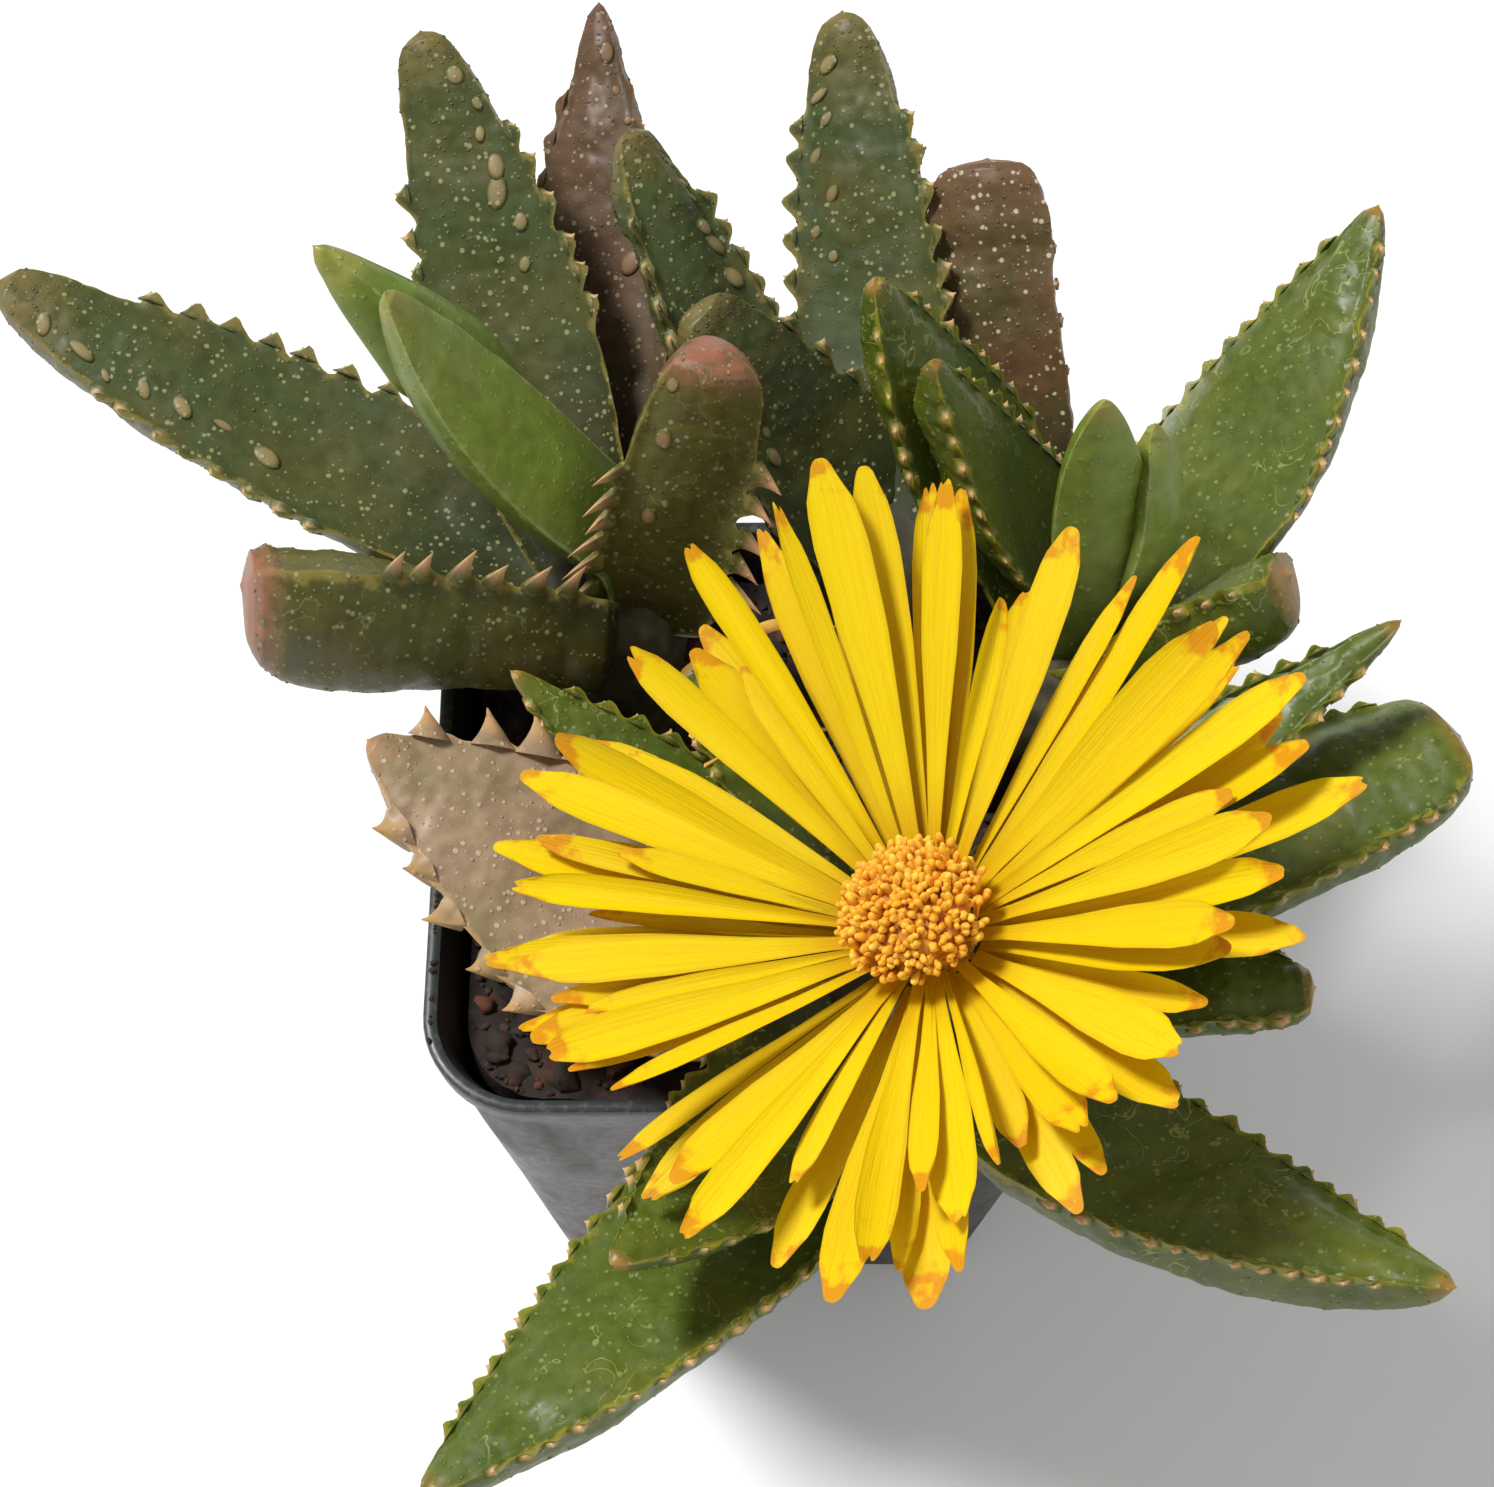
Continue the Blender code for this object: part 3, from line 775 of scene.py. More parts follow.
def model_tooth(hook: float, whisker: float) -> Stamp:
    """Models a leaf's tooth: a flattened cone that ends in a fine hooked point.

    Args:
        hook: How far its point leans forwards, in tooth heights.
        whisker: Share of the height that is a thin whisker.

    Returns:
        The tooth, one unit high on +Y, with its root one unit long each way on X.
    """
    deselect()
    bpy.ops.mesh.primitive_cylinder_add(vertices=6, radius=1.0, depth=1.0, end_fill_type="TRIFAN")
    obj = reshape(bpy.ops.transform.rotate, value=math.pi / 2, orient_axis="X", center_override=(0, 0, 0))
    body = bmesh.new()
    body.from_mesh(obj.data)
    low = min(vert.co.y for vert in body.verts)
    for vert in body.verts:
        vert.co.y = 0.0 if vert.co.y < low + 0.5 else 1.0
    uprights = [edge for edge in body.edges if abs(edge.verts[0].co.y - edge.verts[1].co.y) > 0.5]
    bmesh.ops.subdivide_edges(body, edges=uprights, cuts=4, use_grid_fill=True)
    for vert in body.verts:
        height = vert.co.y
        slim = (1 - height) ** 1.25 * (1 - whisker) + whisker * (0.16 + 0.1 * (1 - height))
        if height > 0.99:
            slim = 0.03
        vert.co.x = vert.co.x * slim + hook * height**1.8
        vert.co.z = vert.co.z * slim * 0.62 + 0.12 * height**2
    body.to_mesh(obj.data)
    body.free()
    return take_stamp(obj, lambda co: (0.6, max(0.0, co.y), 0.6, 0.5))


def model_wart(pale: float, segments: int = 6) -> Stamp:
    """Models a low round wart.

    Args:
        pale: How pale its top is, as a share of a tooth's colour.
        segments: How many sides it has.

    Returns:
        The wart, one unit in radius, on +Z.
    """
    deselect()
    bpy.ops.mesh.primitive_uv_sphere_add(segments=segments, ring_count=segments * 2 // 3, radius=1.0)
    obj = reshape(bpy.ops.transform.resize, value=(1.0, 1.0, 0.55))
    return take_stamp(obj, lambda co: (0.0, pale * min(1.0, max(0.0, co.z) / 0.45), 0.5, 0.7))


def model_anther() -> Stamp:
    """Models an anther: a stubby grooved bean on a thread.

    Returns:
        The anther, about one unit long on +Z.
    """
    deselect()
    bpy.ops.mesh.primitive_uv_sphere_add(segments=6, ring_count=5, radius=0.5)
    obj = reshape(bpy.ops.transform.resize, value=(0.62, 0.86, 1.15))
    for vert in obj.data.vertices:
        if abs(vert.co.x) < 0.05:
            vert.co.y *= 0.8
        if vert.co.z < -0.45:
            vert.co.z = -2.2
            vert.co.x *= 0.1
            vert.co.y *= 0.1
    # Painted shade: the thread is marked darker than the head, as shade down in the brush.
    return take_stamp(obj, lambda co: (0.0, 0.0, 1.0 if co.z > -0.3 else 0.3, 0.0))


def model_grain(detail: int, seed: int) -> Stamp:
    """Models a crumb of soil or bark.

    Args:
        detail: How finely it is divided.
        seed: Picks its shape.

    Returns:
        The crumb, about one unit in radius.
    """
    deselect()
    bpy.ops.mesh.primitive_ico_sphere_add(subdivisions=detail, radius=1.0)
    obj = reshape(bpy.ops.transform.resize, value=(1.0, 0.8, 0.6))
    for vert in obj.data.vertices:
        vert.co *= 1.0 + 0.55 * noise.noise(vert.co * 1.4 + Vector((seed, 0, 0)))
    # Painted light: each crumb is marked lighter on its top than on its underside.
    return take_stamp(obj, lambda co: (0.0, 0.0, 0.5 + 0.4 * co.z, 0.0))


# Leaves


def node_points(node: str) -> tuple[np.ndarray, np.ndarray]:
    """A CAD node's points and triangles.

    Args:
        node: The node's name.

    Returns:
        Its points, and its triangles as point numbers.
    """
    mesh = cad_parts[node].data
    mesh.calc_loop_triangles()
    points = np.array([vert.co for vert in mesh.vertices])
    triangles = np.array([triangle.vertices for triangle in mesh.loop_triangles])
    return points, triangles


def section(points: np.ndarray, triangles: np.ndarray, level: float) -> np.ndarray:
    """Where a mesh crosses a level of its second coordinate.

    Args:
        points: Its points.
        triangles: Its triangles.
        level: The level.

    Returns:
        The crossing's segments, each as two points of (first, third coordinate).
    """
    segments = []
    height = points[:, 1] - level
    for triangle in triangles[np.abs(np.sign(height[triangles]).sum(axis=1)) < 3]:
        ends = []
        for first, second in ((0, 1), (1, 2), (2, 0)):
            low, high = triangle[first], triangle[second]
            if (height[low] < 0) != (height[high] < 0):
                share = height[low] / (height[low] - height[high])
                ends.append(points[low] + share * (points[high] - points[low]))
        if len(ends) == 2:
            segments.append([[ends[0][0], ends[0][2]], [ends[1][0], ends[1][2]]])
    return np.array(segments).reshape(-1, 2, 2)


@dataclass(frozen=True)
class LeafGauge:
    """A leaf as its CAD node has it: axes, and at each station its margins, face and keel."""

    origin: np.ndarray
    axes: np.ndarray
    levels: np.ndarray
    left: np.ndarray
    right: np.ndarray
    margin: np.ndarray
    rise: np.ndarray
    drop: np.ndarray
    keel: np.ndarray

    def world(self, local: np.ndarray) -> np.ndarray:
        """Points of the leaf's own frame in the world."""
        return self.origin + local @ self.axes

    def local(self, world: np.ndarray) -> np.ndarray:
        """Points of the world in the leaf's own frame."""
        return (world - self.origin) @ self.axes.T


def weigh_triangles(points: np.ndarray, triangles: np.ndarray) -> tuple[np.ndarray, np.ndarray]:
    """Middles and areas of triangles.

    Args:
        points: The mesh's points.
        triangles: Its triangles as point numbers.

    Returns:
        The triangles' middles and their areas.
    """
    corners = points[triangles]
    normals = np.cross(corners[:, 1] - corners[:, 0], corners[:, 2] - corners[:, 0])
    return corners.mean(axis=1), np.linalg.norm(normals, axis=1) / 2


def spread(points: np.ndarray, weights: np.ndarray) -> tuple[np.ndarray, np.ndarray]:
    """Principal spreads and directions of weighted points.

    Args:
        points: The points.
        weights: How much each counts.

    Returns:
        The spreads and their directions, widest last.
    """
    middle = np.average(points, axis=0, weights=weights)
    moved = points - middle
    return np.linalg.eigh((moved * weights[:, None]).T @ moved / weights.sum())


def gauge_leaf(node: str, crown: Vector) -> LeafGauge:
    """Measures a leaf's node.

    Args:
        node: The node's name.
        crown: The top of the stem that the leaf grows from.

    Returns:
        The leaf's measures.
    """
    points, triangles = node_points(node)
    middles, areas = weigh_triangles(points, triangles)
    origin = np.average(middles, axis=0, weights=areas)
    _, directions = spread(middles, areas)
    along = directions[:, 2]
    if np.dot(origin - np.array(crown), along) < 0:
        along = -along
    side = np.cross(along, (0, 0, 1.0))
    side /= np.linalg.norm(side)
    axes = np.array([side, along, np.cross(side, along)])
    turned = (points - origin) @ axes.T
    start, end = turned[:, 1].min(), turned[:, 1].max()
    pooled, weights = [], []
    for share in (0.45, 0.52, 0.6, 0.67, 0.74, 0.8):
        cut = section(turned, triangles, start + share * (end - start))
        middle = cut.mean(axis=1)
        length = np.linalg.norm(cut[:, 1] - cut[:, 0], axis=1)
        centre = np.average(middle, axis=0, weights=length)
        pooled.append(middle - centre)
        weights.append(length)
    flat, weight = np.concatenate(pooled), np.concatenate(weights)
    _, pair = spread(flat, weight)
    across = pair[:, 1]
    face = np.array([-across[1], across[0]])
    axes = np.array([across[0] * axes[0] + across[1] * axes[2], along, face[0] * axes[0] + face[1] * axes[2]])
    turned = (points - origin) @ axes.T
    if facing(turned, triangles, start, end) < 0:
        axes[2] = -axes[2]
    axes[0] = np.cross(axes[1], axes[2])
    turned = (points - origin) @ axes.T
    return read_stations(turned, triangles, origin, axes, start, end)


def facing(turned: np.ndarray, triangles: np.ndarray, start: float, end: float) -> float:
    """Whether the third axis points out of a leaf's face.

    Args:
        turned: The node's points in the leaf's own frame.
        triangles: The node's triangles.
        start: Where the leaf starts along its length.
        end: Where it ends.

    Returns:
        A vote, above zero if the axis points out of the face.
    """
    vote = 0.0
    for share in (0.45, 0.55, 0.65, 0.75, 0.82):
        cut = section(turned, triangles, start + share * (end - start)).reshape(-1, 2)
        low, high = cut[:, 0].min(), cut[:, 0].max()
        width = high - low
        ends = cut[(cut[:, 0] < low + 0.03 * width) | (cut[:, 0] > high - 0.03 * width)]
        level = ends[:, 1].mean()
        vote += (level - cut[:, 1].min()) - (cut[:, 1].max() - level)
    return vote


def read_stations(
    turned: np.ndarray, triangles: np.ndarray, origin: np.ndarray, axes: np.ndarray, start: float, end: float
) -> LeafGauge:
    """Reads a leaf's margins, face and keel at stations from its root to its tip.

    Args:
        turned: The node's points in the leaf's own frame.
        triangles: The node's triangles.
        origin: The frame's origin.
        axes: The frame's axes.
        start: Where the leaf starts along its length.
        end: Where it ends.

    Returns:
        The leaf's measures.
    """
    shares = np.concatenate([np.linspace(0.03, 0.9, 24), (0.93, 0.955, 0.975, 0.99, 0.998)])
    rows = []
    for share in shares:
        cut = section(turned, triangles, start + share * (end - start)).reshape(-1, 2)
        low, high = cut[:, 0].min(), cut[:, 0].max()
        width = high - low
        left = cut[cut[:, 0] < low + 0.04 * width][:, 1].mean()
        right = cut[cut[:, 0] > high - 0.04 * width][:, 1].mean()
        level = (left + right) / 2
        keel = cut[np.argmin(cut[:, 1])]
        rows.append((low, high, level, cut[:, 1].max() - level, level - keel[1], keel[0]))
    table = np.array(rows)
    middle = (table[:, 0] + table[:, 1]) / 2
    half = (table[:, 1] - table[:, 0]) / 2
    drop = table[:, 4].copy()
    late = shares > 0.5
    level_line = np.polyfit(shares[late], table[late, 2], 2)
    middle_line = np.polyfit(shares[late], middle[late], 1)
    for index in range(len(shares) - 2, -1, -1):
        if shares[index] < 0.62:
            half[index] = max(half[index], half[index + 1] * (0.985 if shares[index] < 0.2 else 1.0))
            drop[index] = max(drop[index], drop[index + 1] * 0.97)
    trust = np.clip((shares - 0.3) / 0.3, 0, 1)
    margin = trust * table[:, 2] + (1 - trust) * np.polyval(level_line, shares)
    middle = trust * middle + (1 - trust) * np.polyval(middle_line, shares)
    for values in (half, drop, margin, middle):
        values[1:-6] = (values[:-7] + 2 * values[1:-6] + values[2:-5]) / 4
    return LeafGauge(
        origin,
        axes,
        start + shares * (end - start),
        middle - half,
        middle + half,
        margin,
        np.clip(table[:, 3], 0, 0.35 * half),
        drop,
        np.clip(table[:, 5], middle - 0.3 * half, middle + 0.3 * half),
    )


class LeafKind(Enum):
    """The sorts of leaf on the plant."""

    GREY = "grey"
    JAW = "jaw"
    BROWN = "brown"
    RUSSET = "russet"
    OLD = "old"
    GREEN = "green"
    YOUNG = "young"


@dataclass(frozen=True)
class LeafLook:
    """Finish, teeth and warts of one sort of leaf. Lengths are in metres."""

    finish: LeafFinish
    slot: str
    hook: float = 0.0
    tooth_height: float = 0.0
    tooth_spacing: float = 0.0
    tooth_width: float = 0.0
    whisker: float = 0.0
    scallop: float = 0.0
    warts: int = 0
    bosses: int = 0
    first_tooth: float = 0.3
    last_tooth: float = 0.86
    upright: float = 0.45


PALE_DOT = tone(156, 158, 114)
GREY_SKIN = LeafFinish(
    "grey_leaf_skin",
    face=tone(65, 75, 34),
    flank=tone(86, 92, 50),
    patch=tone(83, 80, 34),
    edge=tone(124, 110, 53),
    tooth=tone(197, 167, 119),
    tip=tone(112, 97, 49),
    dot=PALE_DOT,
    dot_share=0.7,
    tip_start=0.8,
    roughness=0.5,
)
JAW_SKIN = LeafFinish(
    "jaw_leaf_skin",
    face=tone(89, 88, 34),
    flank=tone(72, 75, 26),
    patch=tone(88, 80, 31),
    edge=tone(130, 115, 54),
    tooth=tone(198, 155, 112),
    tip=tone(146, 92, 70),
    dot=PALE_DOT,
    dot_share=0.6,
    ring_share=0.3,
    tip_start=0.86,
    roughness=0.45,
)
BROWN_SKIN = LeafFinish(
    "brown_leaf_skin",
    face=tone(92, 68, 46),
    flank=tone(85, 64, 41),
    patch=tone(80, 70, 42),
    edge=tone(116, 83, 56),
    tooth=tone(178, 137, 108),
    tip=tone(100, 65, 47),
    dot=tone(178, 165, 138),
    dot_share=0.6,
    roughness=0.5,
)
RUSSET_SKIN = LeafFinish(
    "russet_leaf_skin",
    face=tone(89, 77, 43),
    flank=tone(84, 65, 42),
    patch=tone(103, 73, 49),
    edge=tone(113, 85, 56),
    tooth=tone(171, 138, 105),
    tip=tone(108, 77, 53),
    dot=tone(200, 190, 160),
    dot_share=0.85,
    tip_start=0.6,
    roughness=0.5,
)
OLD_SKIN = LeafFinish(
    "old_leaf_skin",
    face=tone(162, 137, 109),
    flank=tone(166, 135, 109),
    patch=tone(140, 128, 90),
    edge=tone(190, 154, 107),
    tooth=tone(193, 152, 99),
    tip=tone(166, 126, 90),
    dot=tone(212, 200, 175),
    dot_share=0.55,
    roughness=0.48,
)
GREEN_SKIN = LeafFinish(
    "green_leaf_skin",
    face=tone(79, 95, 26),
    flank=tone(71, 84, 9),
    patch=tone(94, 100, 23),
    edge=tone(132, 126, 26),
    tooth=tone(208, 165, 110),
    tip=tone(161, 117, 50),
    dot=tone(164, 172, 102),
    dot_share=0.35,
    ring_share=0.6,
    tip_start=0.94,
    roughness=0.44,
    coat=0.1,
)
YOUNG_SKIN = LeafFinish(
    "young_leaf_skin",
    face=tone(122, 142, 54),
    flank=tone(104, 124, 42),
    patch=tone(132, 144, 70),
    edge=tone(150, 160, 92),
    tooth=tone(186, 172, 116),
    tip=tone(148, 142, 70),
    dot=tone(166, 176, 112),
    dot_share=0.3,
    tip_start=0.82,
    roughness=0.36,
    coat=0.15,
)

LEAF_LOOKS = {
    LeafKind.GREY: LeafLook(
        GREY_SKIN,
        "grey_leaf",
        hook=0.25,
        tooth_height=0.9 * MM,
        tooth_spacing=2.7 * MM,
        tooth_width=1.1 * MM,
        whisker=0.1,
        scallop=1.15 * MM,
        warts=260,
        bosses=7,
        first_tooth=0.3,
        last_tooth=0.76,
    ),
    LeafKind.JAW: LeafLook(
        JAW_SKIN,
        "grey_leaf",
        hook=-0.6,
        tooth_height=3.0 * MM,
        tooth_spacing=2.3 * MM,
        tooth_width=1.2 * MM,
        whisker=0.3,
        scallop=1.1 * MM,
        warts=150,
        bosses=3,
        first_tooth=0.12,
        last_tooth=0.66,
        upright=0.8,
    ),
    LeafKind.BROWN: LeafLook(
        BROWN_SKIN,
        "old_leaf",
        hook=0.2,
        tooth_height=0.6 * MM,
        tooth_spacing=2.8 * MM,
        tooth_width=1.0 * MM,
        whisker=0.1,
        scallop=0.6 * MM,
        warts=200,
        bosses=7,
    ),
    LeafKind.RUSSET: LeafLook(
        RUSSET_SKIN,
        "old_leaf",
        hook=0.2,
        tooth_height=0.3 * MM,
        tooth_spacing=3.0 * MM,
        tooth_width=0.6 * MM,
        whisker=0.1,
        scallop=0.2 * MM,
        warts=260,
    ),
    LeafKind.OLD: LeafLook(
        OLD_SKIN,
        "old_leaf",
        hook=0.4,
        tooth_height=2.6 * MM,
        tooth_spacing=3.6 * MM,
        tooth_width=1.9 * MM,
        whisker=0.12,
        scallop=0.7 * MM,
        warts=120,
        first_tooth=0.3,
        last_tooth=0.92,
        upright=0.3,
    ),
    LeafKind.GREEN: LeafLook(
        GREEN_SKIN,
        "green_leaf",
        hook=0.2,
        tooth_height=0.75 * MM,
        tooth_spacing=2.0 * MM,
        tooth_width=1.0 * MM,
        whisker=0.06,
        scallop=0.65 * MM,
        warts=80,
        first_tooth=0.25,
        last_tooth=0.9,
    ),
    LeafKind.YOUNG: LeafLook(YOUNG_SKIN, "young_leaf"),
}


def kind_of(node: str) -> LeafKind:
    """The sort of leaf that a node is.

    Args:
        node: The node's name.

    Returns:
        Its sort.
    """
    if node.startswith("bud_"):
        return LeafKind.YOUNG
    if "_jaw_" in node:
        return LeafKind.JAW
    if node.endswith("_old"):
        return LeafKind.OLD
    if node == "leaf_back_brown":
        return LeafKind.RUSSET
    if node.endswith("_brown"):
        return LeafKind.BROWN
    if node.startswith(("leaf_left", "leaf_back")):
        return LeafKind.GREY
    return LeafKind.GREEN


@dataclass(frozen=True)
class Foliage:
    """All leaves: a fine skin over each gauged node, with its teeth and warts."""

    stations: int = 112
    face_points: int = 27
    flank_points: int = 17
    lip_height: float = 0.3 * MM
    lump_height: float = 0.45 * MM
    grain_height: float = 0.12 * MM
    boss_radius: float = 0.8 * MM
    wart_radius: float = 0.12 * MM
    neck_rings: int = 8
    neck_depth: float = 3.0 * MM
    neck_share: float = 0.5
    wart_paleness: float = 0.26
    boss_paleness: float = 0.4
    boss_sides: int = 14
    lump_size: float = 6 * MM
    knob_size: float = 2.4 * MM
    grain_size: float = 0.8 * MM

    @property
    def columns(self) -> int:
        """How many points a ring of the skin has."""
        return self.face_points + 2 * self.flank_points - 3

    def build(self) -> None:
        """Makes every leaf."""
        teeth = {
            look: model_tooth(look.hook, look.whisker) for look in LEAF_LOOKS.values() if look.tooth_height
        }
        wart = model_wart(self.wart_paleness)
        boss = model_wart(self.boss_paleness, self.boss_sides)
        materials = {}
        for node in sorted(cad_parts):
            if not node.startswith(("leaf_", "bud_")):
                continue
            look = LEAF_LOOKS[kind_of(node)]
            if look.finish.name not in materials:
                materials[look.finish.name] = look.finish.build()
            chance = random.Random(node)
            low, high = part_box("stem_" + node.split("_")[1])
            crown = Vector(((low.x + high.x) / 2, (low.y + high.y) / 2, high.z))
            gauge = gauge_leaf(node, crown)
            shell = Shell()
            levels = [self.tooth_levels(gauge, look, chance) for _ in range(2)]
            root = gauge.local(np.array(crown) - (0, 0, self.neck_depth))
            self.lay_skin(shell, gauge, look, levels, root, chance)
            if look.tooth_height:
                self.set_teeth(shell, gauge, look, levels, teeth[look], chance)
            self.set_warts(shell, look, wart, chance)
            self.set_bosses(shell, look, boss, chance)
            hand_in(shell.piece(node + "_skin", materials[look.finish.name]), look.slot, node)

    def outline(self) -> tuple[np.ndarray, ...]:
        """The ring around a leaf, from the right margin over the face and back under the keel.

        Returns:
            Shares across, of the rise and of the drop, nearness to an edge, and face side.
        """
        face = np.linspace(1, -1, self.face_points)
        turn = np.linspace(0, math.pi / 2, self.flank_points)
        left = turn[1:]
        right = turn[-2:0:-1]
        across = np.concatenate([face, -np.cos(left) ** 1.05, np.cos(right) ** 1.05])
        rise = np.concatenate([1 - face**2, np.zeros(len(left) + len(right))])
        drop = np.concatenate([np.zeros(len(face)), np.sin(left) ** 1.15, np.sin(right) ** 1.15])
        margin = np.exp(-(((1 - np.abs(face)) / 0.09) ** 2))
        flank = [
            np.exp(-((part / 0.14) ** 2)) + 0.75 * np.exp(-(((math.pi / 2 - part) / 0.12) ** 2))
            for part in (left, right)
        ]
        edge = np.concatenate([margin, *flank])
        side = np.concatenate([np.ones(len(face)), np.zeros(len(left) + len(right))])
        side[[0, len(face) - 1]] = 0.5
        return across, rise, drop, edge, side

    def tooth_levels(self, gauge: LeafGauge, look: LeafLook, chance: random.Random) -> list[float]:
        """Where the teeth of one margin stand along a leaf.

        Args:
            gauge: The leaf's measures.
            look: The leaf's look.
            chance: Source of unevenness.

        Returns:
            The teeth's places along the leaf.
        """
        if not look.tooth_height:
            return []
        length = gauge.levels[-1] - gauge.levels[0]
        level = gauge.levels[0] + look.first_tooth * length
        found = []
        while level < gauge.levels[0] + look.last_tooth * length:
            found.append(level)
            level += look.tooth_spacing * chance.uniform(0.75, 1.25)
        return found

    def scallops(self, levels: np.ndarray, teeth: list[float], look: LeafLook) -> np.ndarray:
        """How far a margin swells towards each of its teeth.

        Args:
            levels: The stations' places along the leaf.
            teeth: The teeth's places along the leaf.
            look: The leaf's look.

        Returns:
            The swelling at each station, in metres.
        """
        swell = np.zeros(len(levels))
        for level in teeth:
            away = (levels - level) / look.tooth_spacing
            swell = np.maximum(swell, np.exp(-((np.where(away > 0, away / 0.2, away / 0.42)) ** 2)))
        return swell * look.scallop

    def neck(self, ring: np.ndarray, root: np.ndarray) -> list[np.ndarray]:
        """Rings that lead from inside the crown out to a leaf's first ring.

        Args:
            ring: The leaf's first ring, in the leaf's own frame.
            root: The place inside the crown.

        Returns:
            The rings, from the crown outwards.
        """
        middle = ring.mean(axis=0)
        reach = np.array([root[0], min(root[1], middle[1] - self.neck_rings * 0.05 * MM), root[2]]) - middle
        rings = []
        for share in np.linspace(1, 0, self.neck_rings, endpoint=False):
            bend = np.array([share**1.6, share, share**1.6])
            rings.append(middle + reach * bend + (ring - middle) * (1 - (1 - self.neck_share) * share**1.3))
        return rings

    def lay_skin(
        self,
        shell: Shell,
        gauge: LeafGauge,
        look: LeafLook,
        teeth: list[list[float]],
        root: np.ndarray,
        chance: random.Random,
    ) -> None:
        """Adds the leaf's skin.

        Args:
            shell: What it is added to.
            gauge: The leaf's measures.
            look: The leaf's look.
            teeth: Where the teeth of the right and the left margin stand.
            root: The place inside the crown where the leaf starts, in the leaf's own frame.
            chance: Source of unevenness.
        """
        young = not look.tooth_height
        across, rise, drop, edge, side = self.outline()
        share = np.linspace(0, 1, self.stations)
        share = 1 - (1 - share) ** 1.35
        first, last = gauge.levels[0], gauge.levels[-1]
        levels = first + share * (last - first)
        read = {}
        for name in ("left", "right", "margin", "rise", "drop", "keel"):
            read[name] = np.interp(levels, gauge.levels, getattr(gauge, name))
        middle = (read["left"] + read["right"]) / 2
        half = (read["right"] - read["left"]) / 2
        dish = np.interp(share, (0, 0.35, 0.75, 1), (-0.5, -0.15, 0.75, 1.0))
        if young:
            dish = np.ones(len(share)) * 0.6
        lip = 0.0 if young else self.lip_height
        swell = [self.scallops(levels, side_teeth, look) for side_teeth in teeth]
        near = edge * (np.abs(across) > 0.5)
        offset = Vector([chance.uniform(-1, 1) for _ in range(3)])
        points = []
        marks = []
        for index, level in enumerate(levels):
            x = middle[index] + across * half[index]
            x += drop**2 * (read["keel"][index] - middle[index])
            z = read["margin"][index] + rise * read["rise"][index] * dish[index] - drop * read["drop"][index]
            fade = min(1.0, (1 - share[index]) * 6)
            z += lip * fade * edge * (side > 0.4)
            core = np.array([middle[index], read["margin"][index] - 0.35 * read["drop"][index]])
            out = np.stack([x, z], axis=1) - core
            out /= np.maximum(np.linalg.norm(out, axis=1), 1e-9)[:, None]
            ring = np.stack([x, np.full(len(x), level), z], axis=1)
            grown = np.where(across > 0, swell[0][index], swell[1][index]) * near
            x += np.sign(across) * grown
            z += grown * look.upright
            ring[:, 0], ring[:, 2] = x, z
            push = np.array([self.bump(point, offset, young) for point in ring]) * fade
            ring[:, 0] += push * out[:, 0]
            ring[:, 2] += push * out[:, 1]
            points.append(ring)
            marks.append(np.stack([edge, np.zeros(len(x)), np.full(len(x), share[index]), side], axis=1))
        necks = self.neck(points[0], root)
        points = necks + points
        marks = [marks[0]] * len(necks) + marks
        local = np.concatenate(points)
        columns = len(across)
        faces = bridge(len(points), columns)
        tip = local[-columns:].mean(axis=0) + np.array([0, 0.15 * MM, 0])
        total = len(local)
        local = np.concatenate([local, [tip, local[:columns].mean(axis=0)]])
        last_row = total - columns
        faces += [(last_row + i, last_row + (i + 1) % columns, total) for i in range(columns)]
        faces += [((i + 1) % columns, i, total + 1) for i in range(columns)]
        marks.append(np.array([[0.5, 0, 1, 0.5], [0, 0, 0, 0.5]]))
        shell.add(gauge.world(local), faces, np.concatenate(marks))

    def bump(self, point: np.ndarray, offset: Vector, young: bool) -> float:
        """How far the skin stands out at a point.

        Args:
            point: The point, in the leaf's own frame.
            offset: Sets this leaf's lumps apart from another leaf's.
            young: Whether the leaf is young, and so smoother.

        Returns:
            The distance in metres.
        """
        place = Vector(point)
        soft = noise.noise(place / self.lump_size + offset)
        if young:
            return 0.4 * self.lump_height * soft
        middle = noise.noise(place / self.knob_size + offset)
        fine = noise.noise(place / self.grain_size + offset)
        return self.lump_height * (soft + 0.35 * middle) + self.grain_height * fine

    def margin_at(self, gauge: LeafGauge, level: float, right: bool) -> np.ndarray:
        """A point of a leaf's margin.

        Args:
            gauge: The leaf's measures.
            level: The place along the leaf.
            right: Whether it is the right margin.

        Returns:
            The point, in the leaf's own frame.
        """
        edge = gauge.right if right else gauge.left
        return np.array(
            [np.interp(level, gauge.levels, edge), level, np.interp(level, gauge.levels, gauge.margin)]
        )

